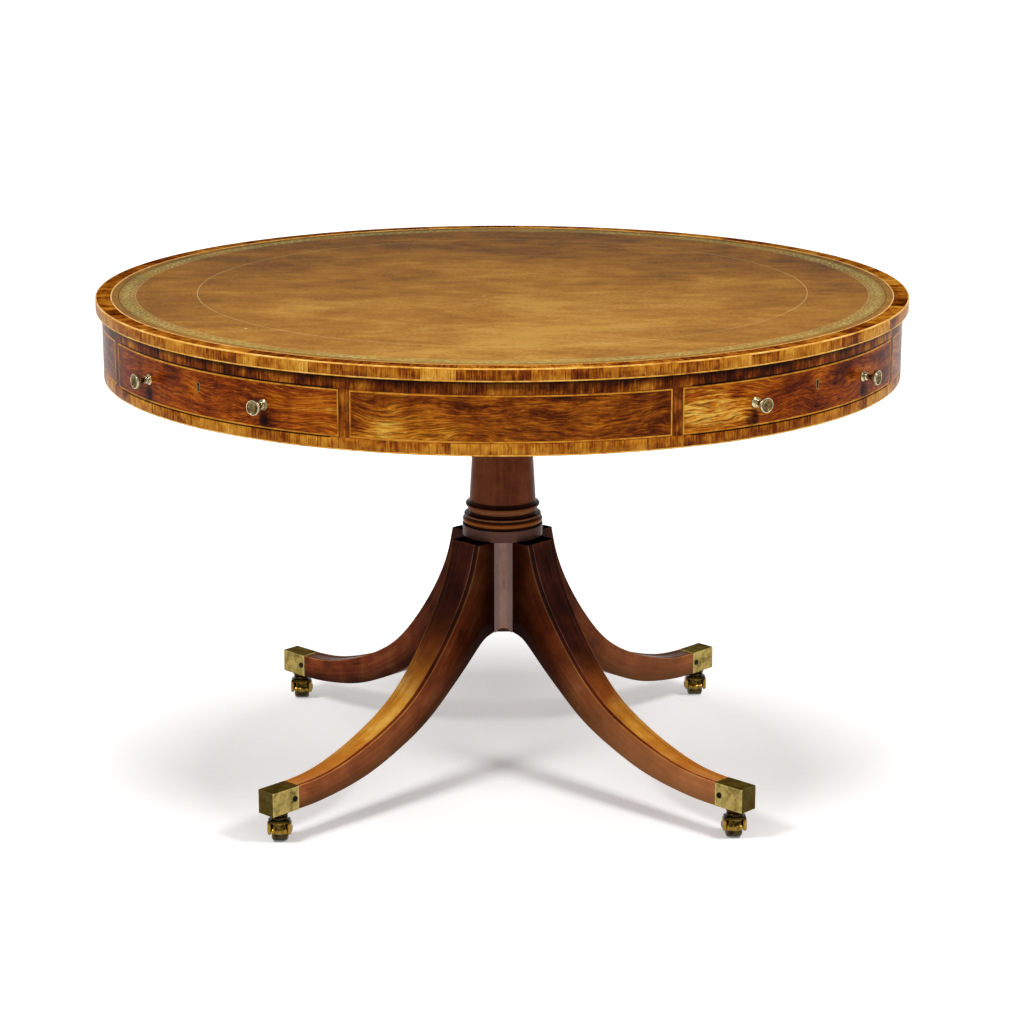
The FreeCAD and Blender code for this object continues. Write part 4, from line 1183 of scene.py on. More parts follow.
def smooth_curve(points: Sequence[Point2], count: int) -> list[Point2]:
    """Evenly spaced points on a natural spline through the given ones.

    Args:
        points: Points that the curve passes.
        count: How many points to give.

    Returns:
        The points on the curve.
    """
    known = np.array(points)
    length = np.concatenate([[0], np.cumsum(np.linalg.norm(np.diff(known, axis=0), axis=1))])
    step = np.diff(length)
    n = len(known)
    system = np.eye(n)
    pull = np.zeros((n, 2))
    for i in range(1, n - 1):
        system[i, i - 1:i + 2] = step[i - 1], 2 * (step[i - 1] + step[i]), step[i]
        pull[i] = 6 * ((known[i + 1] - known[i]) / step[i] - (known[i] - known[i - 1]) / step[i - 1])
    bend = np.linalg.solve(system, pull)
    made = []
    for at in np.linspace(0, length[-1], count):
        i = min(int(np.searchsorted(length, at, side="right")) - 1, n - 2)
        h, a, b = step[i], (length[i + 1] - at) / step[i], (at - length[i]) / step[i]
        bent = (a ** 3 - a) * bend[i] + (b ** 3 - b) * bend[i + 1]
        spot = a * known[i] + b * known[i + 1] + bent * h * h / 6
        made.append((float(spot[0]), float(spot[1])))
    return made


def dress(node: str, finish: Finish, ease_mm: float = 0.0) -> None:
    """Gives a solid of the frame its finish and eases its edges.

    Args:
        node: Name of the solid.
        finish: Finish that it gets.
        ease_mm: Width of the easing of its edges.
    """
    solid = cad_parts[node]
    for holder in solid.material_slots:
        holder.material = finish.material()
    if ease_mm:
        solid.modifiers.new("weld", "WELD").merge_threshold = 1e-6
        bevel = solid.modifiers.new("ease", "BEVEL")
        bevel.width = ease_mm * MM
        bevel.segments = 2
        bevel.limit_method = "ANGLE"
        bevel.angle_limit = math.radians(40)
        bevel.miter_outer = "MITER_ARC"
        solid.modifiers.new("even", "WEIGHTED_NORMAL").keep_sharp = True
    log.info("%s: finished as %s", node, finish.name)


# Finishes of the table

MAHOGANY = PolishedMahogany("mahogany_french_polished")
# Painted shade and highlights of the turned mouldings by their height above the legs, in millimetres:
# near-black under and between the rings, paler on their rounds
RINGS = ((0.0, "#6E5048"), (17.0, "#78574C"), (18.0, "#0C0504"), (21.4, "#0E0604"), (22.4, "#A05A24"),
         (25.5, "#C47836"), (27.8, "#8A4818"), (28.6, "#0C0504"), (31.4, "#0C0504"), (32.0, "#B88058"),
         (33.8, "#A87048"), (34.4, "#0C0504"), (38.4, "#0E0604"), (39.3, "#6A3E2A"), (40.3, "#BC7C52"),
         (41.3, "#74462E"), (42.3, "#C48458"), (43.3, "#7A4A30"), (44.3, "#C88A5E"), (45.6, "#9A5C34"),
         (48.6, "#8A5028"), (49.8, "#0C0504"), (55.4, "#0C0504"), (57.0, "#7A4224"))
# The shaft's colours are lifted as painted light, where the drum keeps the lamps off it
SHAFT_MAHOGANY = PolishedMahogany("mahogany_turned_and_polished", dark="#5C2C18", red="#844628",
                                  light="#9C5E38", rubbed=0.2, turnings=RINGS)
# Painted highlight: a pale golden line on a leg's arris, with painted shade near the column
ARRIS_MAHOGANY = PolishedMahogany("mahogany_arris_painted_highlight", Layout.MAP, dark="#9A5420", red="#CC8038",
                                  light="#E8A850", rubbed=0.0, shade_near=0.0, shade_far=0.240)
# Pale mahogany for the core, with a painted grey reflection toward the sides of its strips
CORE_MAHOGANY = PolishedMahogany("mahogany_core_with_painted_sheen", dark="#946A5A", red="#C4988A", light="#D4AC9C",
                                 rubbed=0.0, strip_sheen=True)
# Painted shade: near-black for the tops of the legs, which lie in the drum's shadow
SHADED_MAHOGANY = PolishedMahogany("mahogany_painted_shade", dark="#020101", red="#080302", light="#100604",
                                   rubbed=0.0, gloss=False)
ARCH_MAHOGANY = PolishedMahogany("mahogany_arch_shaded", dark="#5A382C", red="#8A6250", light="#A27A68",
                                 rubbed=0.0, gloss=False)
BOXWOOD = BoxwoodString("boxwood_stringing_polished")
# Painted shade: the dark hollow of a leg's moulding, darkest near the column
QUIRK_MAHOGANY = PolishedMahogany("mahogany_quirk_painted_shade", Layout.MAP, dark="#3A1408", red="#7A3618",
                                  light="#A05024", rubbed=0.0, shade_near=0.08, shade_far=0.32)
DARK_BOXWOOD = BoxwoodString("boxwood_stringing_browned", low="#8A4A10", middle="#BE7A22", high="#D89A3C")
CARCASE = {grain: PlanedBoard("mahogany_board_planed_" + grain.name.lower(), grain, "#6E3F22", "#9A6A42")
           for grain in Grain}
OAK = {grain: PlanedBoard("oak_board_planed_" + grain.name.lower(), grain) for grain in Grain}
IRON = ForgedIron("iron_forged")
SCREW_IRON = ForgedIron("iron_screws_waxed", 2.0, "#0E0D0A", "#1E1C16", "#2C2620")
CAP_BRASS = CastBrass("brass_cast_tarnished", "#AC9858", "#544622", 0.57, 0.40, 15.0, edges="#CABA74",
                      topside=0.86, endways=0.90, tinge="#D8C8AE")
CASTOR_BRASS = CastBrass("brass_cast_blackened", "#7A6226", "#150D04", 0.45, 0.34, 6.0, edges="#B8923E",
                         topside=0.6, grime_and_shade_from=0.0315, grime_and_shade_to=0.0345)
WHEEL_BRASS = CastBrass("brass_rolled_blackened", "#5A4C22", "#0C0804", 0.46, 0.38, 9.0, edges="#6E5E2A")
KNOB_BRASS = CastBrass("brass_turned_rubbed", "#B0A27A", "#55482A", 0.54, 0.26, 9.0, 1.5, "#DDD2B0",
                       hollow=0.75)
# Tarnish in the knob's dish; the same dark brass on the neck behind the cup is painted shade
DISH_BRASS = CastBrass("brass_dish_tarnished_and_neck_shaded", "#7A6844", "#3A2C18", 0.50, 0.30, 7.0, 1.5, "#A89468",
                       hollow=0.75)
LOCK_BRASS = CastBrass("brass_sheet_tarnished", "#5A4C2A", "#1C150A", 0.46, 0.40, 6.0, edges="#8A7A4A")


@dataclass
class WritingTop:
    """The round top: leather, crossbanded border and edge, stringing, and the board under them."""

    radius: float = 609.0
    height: float = 762.0
    edge_low: float = 743.7
    bed: float = 760.0
    leather_radius: float = 584.35
    leather_top: float = 761.4
    inner_line: Point2 = (584.45, 586.40)
    border: Point2 = (586.45, 606.95)
    string: float = 2.0
    steps: int = 480
    body: str = "top"

    def build(self) -> None:
        """Builds the top's pieces."""
        self.leather()
        self.veneers()
        dress("top_board", CARCASE[Grain.Y])

    def leather(self) -> None:
        """Builds the leather as a fine polar skin with its tooled lines sunk in."""
        top, low, edge = self.leather_top, self.bed, self.leather_radius
        grooves = {574.5: 0.30, 551.5: 0.16, 458.0: 0.18}
        radii = [0.0, 12.0]
        while radii[-1] < 545.0:
            radii.append(radii[-1] + 14.0)
        radii += [545.0, 558.0, 563.5, 569.0, 580.0]
        for centre in grooves:
            radii += [centre - 1.6, centre - 0.8, centre - 0.35, centre, centre + 0.35, centre + 0.8,
                      centre + 1.6]
        radii = sorted(set(radii))
        draft = Draft()
        rows = []
        for i in range(self.steps):
            angle = math.tau * i / self.steps
            row = [Vector((edge * math.cos(angle), edge * math.sin(angle), low))]
            eased = [(edge, 0.5), (edge - 0.25, 0.14), (edge - 0.8, 0.0)]
            for r, drop in eased + [(r, None) for r in radii[::-1]]:
                x, y = r * math.cos(angle), r * math.sin(angle)
                sunk = drop
                if drop is None:
                    sunk = 0.10 + 0.10 * noise.noise(Vector((x, y, 0)) / 90.0)
                    for centre, depth in grooves.items():
                        sunk += depth * max(0.0, 1 - abs(r - centre) / 0.8)
                row.append(Vector((x, y, top - sunk)))
            rows.append(row)
        along = [self.radius * math.tau * i / self.steps for i in range(self.steps + 1)]
        draft.skin(rows, along, [float(k) for k in range(len(rows[0]))], ring_rows=True)
        draft.lid([row[0] for row in rows])
        marks = (LeatherMark(-0.0319, -0.4840, 3.0, "#E8D8B0", 0.85),
                 LeatherMark(0.0302, -0.0709, 3.2, "#D8C090", 0.50),
                 LeatherMark(0.0859, -0.5358, 3.0, "#5A3A14", 0.60),
                 LeatherMark(-0.0124, -0.4807, 2.0, "#8A6024", 0.50),
                 LeatherMark(0.0546, 0.3736, 5.0, "#7A4C1C", 0.35))
        draft.build("leather", [TooledLeather("calf_hide_dyed_and_tooled", marks=marks)], self.body,
                    "leather", ["leather_inset"], 50.0)

    def veneers(self) -> None:
        """Builds the crossbanded border, the crossbanded edge and the three strings."""
        radius, top, low, bed, line = self.radius, self.height, self.edge_low, self.bed, self.string
        inner = radius - line
        border = Draft()
        a, b = self.border
        border.turned(rounded([(a, bed, 0), (b, bed, 0), (b, top, 0.12), (a, top, 0.12)], 2), self.steps)
        border.build("top_border_crossbanding", [Crossbanding("rosewood_border_crossbanding", piece_mm=78.0,
                                                              tone=-0.015, gloss=False)],
                     self.body, "rosewood", ["top_crossband"])
        edge = Draft()
        edge.turned(rounded([(inner + 0.05, low + line + 0.05, 0), (inner + 1.85, low + line + 0.05, 0.2),
                             (inner + 1.85, bed - 0.05, 0.2), (inner + 0.05, bed - 0.05, 0)], 2), self.steps)
        edge.build("top_edge_crossbanding", [Crossbanding("rosewood_edge_crossbanding", tone=0.032)],
                   self.body, "rosewood", ["top_edge_band"])
        strings = Draft()
        strings.turned(rounded([(inner, bed, 0), (radius, bed, 0.25), (radius, top, 1.1), (inner, top, 0.1)]),
                       self.steps)
        strings.turned(rounded([(inner + 0.05, low, 0), (radius, low, 1.0), (radius, low + line, 0.25),
                                (inner + 0.05, low + line, 0)]), self.steps)
        a, b = self.inner_line
        strings.turned(rounded([(a, bed, 0), (b, bed, 0), (b, top, 0.12), (a, top, 0.12)], 2), self.steps)
        strings.build("top_stringing", [BOXWOOD], self.body, "boxwood", ["top_strings"])


@dataclass
class DrumFrieze:
    """The drum under the top: rails, fixed panels, stringing and the carcase inside."""

    radius: float = 600.0
    inner: float = 578.0
    low: float = 642.0
    opening_low: float = 659.0
    string: float = 2.0
    steps: int = 480
    body: str = "top"

    def build(self) -> None:
        """Builds the drum's pieces."""
        # The top rail is toned darker and carries a near-black band under the top's overhang, both painted
        # shade
        dress("frieze_top_rail", Crossbanding("rosewood_top_rail_crossbanding", Layout.DRUM, 64.0,
                                              tone=-0.066, rim_shadow_from=0.7365, rim_shadow_to=0.7425,
                                              gap_shadow_low=0.7240, gap_shadow_high=0.7268), 0.3)
        self.bottom_rail()
        # The panel's two bright patches are painted highlights
        panel = FiguredRosewood("rosewood_panel_veneer", stile_deg=20.9, offset=0.31,
                                faded_and_painted_light=((-0.620, 0.664, 0.045, 0.10), (-0.640, 0.6765, 0.016, 0.11)))
        dress("frieze_panels", panel, 0.3)
        dress("panel_strings", DARK_BOXWOOD, 0.15)
        dress("drum_floor", CARCASE[Grain.X], 0.4)
        dress("turning_plate", CARCASE[Grain.Y], 0.6)
        dress("drawer_guides", CARCASE[Grain.Z], 0.4)
        dress("drawer_stops", CARCASE[Grain.X], 0.6)
        dress("case_screws", IRON)

    def bottom_rail(self) -> None:
        """Builds the crossbanded bottom rail and the string at its lower arris."""
        out, low, high, line = self.radius, self.low, self.opening_low, self.string
        rail = Draft()
        rail.turned(rounded([(self.inner, low, 0.3), (out - line, low, 0), (out - line, low + line, 0),
                             (out, low + line, 0.15), (out, high, 0.5), (self.inner, high, 0.5)], 2),
                    self.steps)
        # The rail's upper edge carries a painted shadow line under each drawer
        rail.build("bottom_rail_crossbanding", [Crossbanding("rosewood_bottom_rail_crossbanding", Layout.DRUM,
                                                             70.0, tone=0.028, gap_shadow_low=0.6578,
                                                             gap_shadow_high=0.6600)], self.body, "rosewood",
                   ["frieze_bottom_rail"])
        string = Draft()
        string.turned(rounded([(out - line + 0.05, low, 0), (out + 0.1, low, 0.9),
                               (out + 0.1, low + line - 0.05, 0.2),
                               (out - line + 0.05, low + line - 0.05, 0)]), self.steps)
        string.build("bottom_rail_stringing", [BOXWOOD], self.body, "boxwood", ["frieze_bottom_string"])


@dataclass
class Drawer:
    """One drawer: bowed front, stringing, two dished knobs, lock and dovetailed box."""

    quarter: Quarter
    knob_deg: float = 11.5
    knob_height: float = 692.0
    face: float = 600.0
    inner: float = 578.0
    half_deg: float = 21.4
    milling: int = 40

    def build(self) -> None:
        """Builds the drawer's pieces."""
        label = self.quarter.label
        # Bright patches on two drawers are painted highlights; the dark patch under each knob is its painted
        # shadow
        faded_and_painted_light = {Quarter.RIGHT: ((-0.215, 0.682, 0.050, 0.17), (-0.16, 0.700, 0.040, 0.08)),
                 Quarter.FRONT: ((0.190, 0.695, 0.050, 0.10), (-0.02, 0.690, 0.030, 0.04))}
        arm = self.face * MM * math.radians(self.knob_deg)
        knob_shadows = tuple((side * arm, self.knob_height * MM - 0.021, 0.013, -0.17) for side in (-1, 1))
        veneer = FiguredRosewood("rosewood_drawer_veneer_" + label, self.quarter.value,
                                 offset=1.7 + 0.9 * self.quarter.value / 90, tone=-0.01,
                                 brown="#642406", amber="#94440A", gold="#BA6C14",
                                 faded_and_painted_light=(*faded_and_painted_light.get(self.quarter, ()), *knob_shadows))
        dress("drawer_front_" + label, veneer, 0.3)
        dress("drawer_string_" + label, DARK_BOXWOOD, 0.15)
        along = Grain.X if self.quarter in (Quarter.RIGHT, Quarter.LEFT) else Grain.Y
        dress("drawer_box_" + label, OAK[along], 0.5)
        dress("drawer_lock_" + label, LOCK_BRASS)
        dress("lock_bolt_" + label, LOCK_BRASS, 0.4)
        self.knobs()

    def knobs(self) -> None:
        """Builds the two turned knobs with milled rims, and their bolts and nuts inside."""
        label = self.quarter.label
        draft = Draft()
        shank = -(self.face - self.inner) - 3.5
        profile: list[Point2] = [(0.0, shank), (2.1, shank), (2.5, shank + 0.4), (2.5, 0.1), (7.3, 0.1)]
        profile += arc((7.5, 0.4), (7.7, 1.0), (7.3, 1.6), 4) + [(6.3, 2.0), (6.0, 2.5)]
        profile += arc((5.6, 2.7), (4.4, 3.6), (4.3, 4.8), 4)
        profile += arc((4.3, 4.8), (5.6, 5.9), (4.3, 7.0), 6)
        profile += arc((4.0, 7.3), (3.15, 10.4), (4.1, 13.4), 8)
        neck = len(profile)
        profile += arc((4.3, 13.9), (6.2, 16.6), (9.2, 18.3), 6)
        profile += [(10.1, 18.9), (10.5, 19.6), (10.5, 20.2)]
        profile += arc((10.6, 20.4), (11.0, 21.8), (10.6, 23.2), 5)
        profile += arc((10.3, 23.7), (9.75, 24.65), (9.1, 24.0), 5)
        dish = len(profile) - 1
        profile += [(8.9, 23.4), (8.4, 23.2)] + arc((8.1, 23.0), (4.6, 21.6), (0.0, 21.2), 8)

        def mill(angle: float, radius: float) -> float:
            """Cuts the teeth of the rim."""
            return -0.28 * (0.5 + 0.5 * math.cos(self.milling * angle)) if radius > 10.55 else 0.0

        for side in (-1, 1):
            place = (self.quarter.turn() @ Matrix.Rotation(math.radians(side * self.knob_deg), 4, "Z")
                     @ Matrix.Translation((self.face, 0, self.knob_height))
                     @ Matrix.Rotation(math.pi / 2, 4, "Y"))
            # The dish takes the tarnished brass, and so does the neck behind the cup, as painted shade
            draft.turned(profile, self.milling * 4, place=place, shape=mill,
                         slot_of=lambda i, j: 1 if j >= dish or neck - 9 <= j < neck + 5 else 0)
            nut = rounded([(0.0, shank, 0), (4.6, shank, 0.4), (4.6, shank + 3.4, 0.4),
                           (0.0, shank + 3.4, 0)], 2)
            draft.turned(nut, 4, 45.0, place=place)
        draft.build("knobs_" + label, [KNOB_BRASS, DISH_BRASS], "drawer_" + label, "knob_brass",
                    ["drawer_knobs_" + label], 38.0)


@dataclass
class Pedestal:
    """The turned column and the block and iron bolt that the drum turns on."""

    core: float = 56.5
    seat: float = 48.6
    foot: float = 234.0
    leg_top: float = 378.0
    block_low: float = 616.0
    steps: int = 432
    body: str = "pedestal"

    def build(self) -> None:
        """Builds the pedestal's pieces."""
        self.column()
        dress("bearing_block", MAHOGANY, 1.0)
        dress("pivot_bolt", IRON, 0.6)
        dress("pivot_nut", IRON, 0.8)

    def column(self) -> None:
        """Builds the column: its turned shaft with mouldings, and the flatted core between the legs."""
        z = self.leg_top
        profile: list[Point2] = [(0.0, z), (61.0, z), (61.8, z + 0.8), (61.8, z + 17.4), (61.3, z + 18.0)]
        profile += [(57.6, z + 18.2), (57.4, z + 19.6)]
        profile += arc((58.0, z + 20.0), (61.6, z + 24.2), (59.8, z + 28.0), 8)
        profile += [(58.4, z + 28.4), (57.6, z + 31.4)]
        profile += arc((58.2, z + 31.7), (59.3, z + 32.9), (58.3, z + 34.1), 4)
        profile += [(56.5, z + 34.5), (52.2, z + 34.9)]
        profile += arc((50.8, z + 35.4), (50.4, z + 37.2), (51.4, z + 39.2), 4)
        for k in range(3):
            low, out = z + 39.4 + 1.95 * k, 52.6 + 0.95 * k
            profile += arc((out - 0.8, low), (out, low + 0.9), (out - 0.4, low + 1.75), 4)
        profile += arc((54.6, z + 45.4), (57.0, z + 48.2), (55.0, z + 51.4), 8)
        profile += [(53.0, z + 51.6), (52.7, z + 52.6)]
        profile += arc((52.4, z + 52.8), (51.4, z + 55.2), (51.0, z + 58.5), 4)
        profile += [(51.0 - 8.8 * k / 6, z + 57.5 + 150.0 * k / 6) for k in range(1, 7)]
        profile += arc((42.1, 590.4), (46.5, 594.0), (41.6, 597.8), 6) + [(41.5, 602.6)]
        profile += arc((42.0, 603.0), (49.2, 606.0), (56.8, 611.6), 6)
        profile += [(57.0, self.block_low), (0.0, self.block_low)]
        shaft = Draft()
        shaft.turned(profile, self.steps)
        rows = []
        levels = [(self.foot, 1.0), (self.foot + 1.0, 0.2), (self.foot + 3.0, 0.0), (self.foot + 20, 0.0),
                  (z, 0.0)]
        for height, sunk in levels:
            row = []
            for i in range(self.steps):
                angle = math.tau * i / self.steps
                off = (math.degrees(angle) + 45) % 90 - 45
                reach = min(self.core, self.seat / math.cos(math.radians(off))) - sunk
                row.append(Vector((reach * math.cos(angle), reach * math.sin(angle), height)))
            rows.append(row)
        core = Draft()
        around = [self.core * math.tau * i / self.steps for i in range(self.steps + 1)]
        core.barrel(rows, [height for height, _ in levels], around)
        piece = core.build("column_core", [CORE_MAHOGANY], self.body, "mahogany", sharp_deg=24.0)
        self.arches(piece)
        shaft.build("column_shaft", [SHAFT_MAHOGANY], self.body, "mahogany", ["column"], 30.0)

    def arches(self, core: bpy.types.Object) -> None:
        """Carves a small blind arch into the foot of each strip of the core.

        Args:
            core: The core.
        """
        cutter = Draft()
        outline = [(10.8 * math.cos(math.tau * k / 32), self.foot + 7.8 * math.sin(math.tau * k / 32))
                   for k in range(32)]
        for quarter in Quarter:
            turn = quarter.turn() @ Matrix.Rotation(math.pi / 4, 4, "Z")
            rows = [[turn @ Vector((x, y, h)) for y, h in outline] for x in (50.5, 62.0)]
            cutter.barrel(rows, [0.0, 1.0], girths(outline))
        tool = cutter.stand("arch_cutter", [ARCH_MAHOGANY])
        mesh = tool.data
        cut = core.modifiers.new("arches", "BOOLEAN")
        cut.object, cut.operation, cut.solver, cut.material_mode = tool, "DIFFERENCE", "EXACT", "TRANSFER"
        view = bpy.context.evaluated_depsgraph_get()
        core.data = bpy.data.meshes.new_from_object(core.evaluated_get(view))
        core.modifiers.clear()
        bpy.data.objects.remove(tool)
        bpy.data.meshes.remove(mesh)


@dataclass
class Leg:
    """One splayed leg with a beaded, sunk upper face, and its brass toe cap."""

    quarter: Quarter
    # Gold of the upper face toward the toe: partly faded wood, partly painted light where the lamps reach
    fading: float
    fade_low: float = 0.165
    fade_high: float = 0.300
    # How much paler the side gets outward: painted light for the light this leg catches
    lit_outward: float = 0.0
    seat: float = 48.6
    shoulder: float = 81.0
    toe: float = 445.0
    top: float = 378.0
    foot: float = 234.0
    toe_low: float = 50.0
    toe_high: float = 86.0
    root_half: float = 28.8
    toe_half: float = 15.5
    stations: int = 150
    cap_half: float = 15.9
    cap_low: float = 49.6
    cap_high: float = 86.4
    cap_end: float = 496.0
    body: str = "pedestal"

    upper_shares = ((0.0, 1.0), (0.025, 0.88), (0.121, 0.637), (0.239, 0.437), (0.386, 0.255), (0.542, 0.142),
                    (0.72, 0.056), (0.876, 0.01), (1.0, 0.0))
    lower_shares = ((0.0, 1.0), (0.044, 0.973), (0.09, 0.9), (0.142, 0.793), (0.233, 0.617), (0.364, 0.394),
                    (0.511, 0.228), (0.652, 0.11), (0.818, 0.033), (0.947, 0.003), (1.0, 0.0))
    # Outline of the upper face from the side inward: distance in from the side, and sinking
    moulding = ((0.0, 3.2), (0.0, 0.9), (0.3, 0.25), (0.8, 0.05), (1.4, 0.2), (1.9, 0.45), (3.6, 0.65),
                (7.0, 0.65), (9.4, 0.45), (9.9, 0.2), (10.6, 0.05), (11.3, 0.25), (11.7, 0.8), (12.2, 0.9),
                (13.0, 0.8))
    quirks = (4, 5, 6, 7, 8)  # points of the moulding that lie in its hollow
    side_points = 8  # points of the section before the moulding starts
    arris_points = 4  # points of the moulding that make its outer arris
    measured_row = 50  # section whose girth sets the grain map across the leg

    def half_width(self, x: float) -> float:
        """Half of the leg's width at a distance from the axis."""
        share = min(max((x - self.shoulder) / (self.toe - self.shoulder), 0.0), 1.0)
        return self.root_half + (self.toe_half - self.root_half) * share

    def build(self) -> None:
        """Builds the leg and its toe cap."""
        label = self.quarter.label
        reach, drop = self.toe - self.shoulder, self.top - self.toe_high
        upper = smooth_curve([(self.shoulder + u * reach, self.toe_high + v * drop)
                              for u, v in self.upper_shares], self.stations)
        reach, drop = self.toe - self.seat, self.foot - self.toe_low
        lower = smooth_curve([(self.seat + u * reach, self.toe_low + v * drop) for u, v in self.lower_shares],
                             self.stations)
        sections = [((self.seat, self.foot), (self.seat, self.top), (1.0, 0.0))]
        for i, (low, high) in enumerate(zip(lower, upper)):
            before, after = upper[max(i - 1, 0)], upper[min(i + 1, self.stations - 1)]
            away = Vector((after[1] - before[1], -(after[0] - before[0]))).normalized() * -1
            sections.append((low, high, (1.0, 0.0) if i == 0 else (away.x, away.y)))
        draft = Draft()
        rows, along = [], []
        for low, high, away in sections:
            rows.append([self.quarter.turn() @ p for p in self.outline(low, high, away)])
            step = math.dist(high, sections[len(along) - 1][1]) if along else 0.0
            along.append((along[-1] if along else 0.0) + step)
        count = len(rows[0])
        across = girths(rows[self.measured_row])
        steps = len(self.moulding)

        def slot(i: int, j: int) -> int:
            """Picks the finish of one face.

            Args:
                i: Section that the face starts at.
                j: Point of the section that the face starts at.

            Returns:
                The face's place in the order of finishes.
            """
            turned = min(j, count - 1 - j)
            # The top of each leg beside the column takes the near-black painted shade
            if i == 0:
                return LegFace.SHADED if turned > self.side_points else LegFace.SIDE
            if turned < self.side_points + self.arris_points:
                return LegFace.ARRIS if turned > self.side_points else LegFace.SIDE
            # Only the moulding on the side toward the camera gets the painted shade of its hollow and the
            # painted highlight of its bead; the far side takes the upper face's finish
            near = (j > count / 2) == (self.quarter in (Quarter.RIGHT, Quarter.BACK))
            if turned >= self.side_points + steps - 2 or not near:
                return LegFace.UPPER
            return LegFace.QUIRK if turned - self.side_points in self.quirks else LegFace.BEAD

        draft.skin(rows, along, across, ring_points=True, slot_of=slot)
        draft.lid(rows[0])
        draft.lid(rows[-1])
        # The side: painted shade near the column, painted light paler outward
        side = PolishedMahogany("mahogany_shaped_" + label, Layout.MAP, dark="#421A0A", red="#8C4222",
                                light="#B26C3E", rubbed=0.0, shade_near=0.066, shade_far=0.160,
                                lit_outward=self.lit_outward, underside=(across[-1], across[2] - 2.0, across[6]))
        # The upper face: golden toward the toe, partly faded wood and partly painted light where the lamps
        # reach
        faded_and_painted_light = PolishedMahogany("mahogany_faded_" + label, Layout.MAP, dark="#220A06", red="#4A1E12",
                                 light="#6E3420", rubbed=0.1, fading=self.fading, fade_low=self.fade_low,
                                 fade_high=self.fade_high)
        # Painted highlight: the pale bead of the moulding, turning golden toward the toe with the fade
        rubbed = PolishedMahogany("mahogany_bead_painted_highlight_" + label, Layout.MAP, dark="#5A3024", red="#8E5E4E",
                                  light="#B4846E", rubbed=0.0, fading=0.9 * self.fading,
                                  fade_low=self.fade_low, fade_high=self.fade_high)
        draft.build("leg_piece_" + label, [side, faded_and_painted_light, SHADED_MAHOGANY, rubbed, QUIRK_MAHOGANY,
                                           ARRIS_MAHOGANY], self.body, "mahogany", ["leg_" + label], 40.0)
        self.toe_cap()

    def outline(self, low: Point2, high: Point2, away: Point2) -> list[Vector]:
        """Section of the leg between a point of its lower edge and one of its upper edge.

        Args:
            low: Point of the lower edge.
            high: Point of the upper edge.
            away: Direction out of the upper face.

        Returns:
            Points round the section.
        """
        base, crest = self.half_width(low[0]), self.half_width(high[0])
        up = Vector((high[0] - low[0], high[1] - low[1])).normalized()
        right = [Vector((low[0], 0.0, low[1])), Vector((low[0], base - 1.4, low[1]))]
        for aside, rise in ((0.4, 0.4), (0.0, 1.4)):
            right.append(Vector((low[0] + up.x * rise, base - aside, low[1] + up.y * rise)))
        for share in (0.25, 0.5, 0.75):
            x, z = low[0] + (high[0] - low[0]) * share, low[1] + (high[1] - low[1]) * share
            right.append(Vector((x, self.half_width(x), z)))
        right.append(Vector((high[0] - away[0] * 4.6, crest, high[1] - away[1] * 4.6)))
        narrowed = crest / self.root_half  # the moulding narrows with the leg
        for aside, sunk in self.moulding:
            right.append(Vector((high[0] - away[0] * sunk, crest - aside * narrowed,
                                 high[1] - away[1] * sunk)))
        for share in (0.75, 0.5, 0.25):
            y = (crest - self.moulding[-1][0] * narrowed) * share
            sunk = self.moulding[-1][1] + 0.5 * (1 - share * share)
            right.append(Vector((high[0] - away[0] * sunk, y, high[1] - away[1] * sunk)))
        deep = self.moulding[-1][1] + 0.5
        middle = Vector((high[0] - away[0] * deep, 0.0, high[1] - away[1] * deep))
        left = [Vector((p.x, -p.y, p.z)) for p in reversed(right[1:])]
        return [*right, middle, *left]

    def toe_cap(self) -> None:
        """Builds the cast box on the toe, eased at its corners and slightly battered."""
        label, turn = self.quarter.label, self.quarter.turn()
        wide, low, high = self.cap_half, self.cap_low, self.cap_high
        ring = rounded([(-wide, low, 1.3), (wide, low, 1.3), (wide, high, 1.3), (-wide, high, 1.3)], 3)
        loop: list[Point2] = []
        for a, b in zip(ring, [*ring[1:], ring[0]]):
            parts = max(1, round(math.dist(a, b) / 2.5))
            loop += [(a[0] + (b[0] - a[0]) * k / parts, a[1] + (b[1] - a[1]) * k / parts)
                     for k in range(parts)]
        lengths = [self.toe + 3.0, self.toe, self.toe + 0.4]
        lengths += [self.toe + 0.4 + (self.cap_end - self.toe - 1.4) * k / 18 for k in range(1, 19)]
        lengths += [self.cap_end - 0.55, self.cap_end - 0.2, self.cap_end]
        sinks = [1.5, 1.2, 0.0] + [0.0] * 18 + [0.15, 0.5, 1.1]
        draft = Draft()
        rows = []
        for x, sink in zip(lengths, sinks):
            row = []
            for (y, z), (inner_y, inner_z) in zip(loop, inset(loop, 1.0)):
                spot = Vector((x, y, z)) / 7.0 + Vector((self.quarter.value, 0, 0))
                dent = 0.30 * max(0.0, noise.noise(spot))
                row.append(turn @ Vector((x, y + (inner_y - y) * (sink + dent),
                                          z + (inner_z - z) * (sink + dent))))
            rows.append(row)
        draft.skin(rows, lengths, girths(loop), ring_points=True)
        draft.lid(rows[-1])
        draft.build("toe_cap_box_" + label, [CAP_BRASS], self.body, "aged_brass", ["toe_cap_" + label], 50.0)

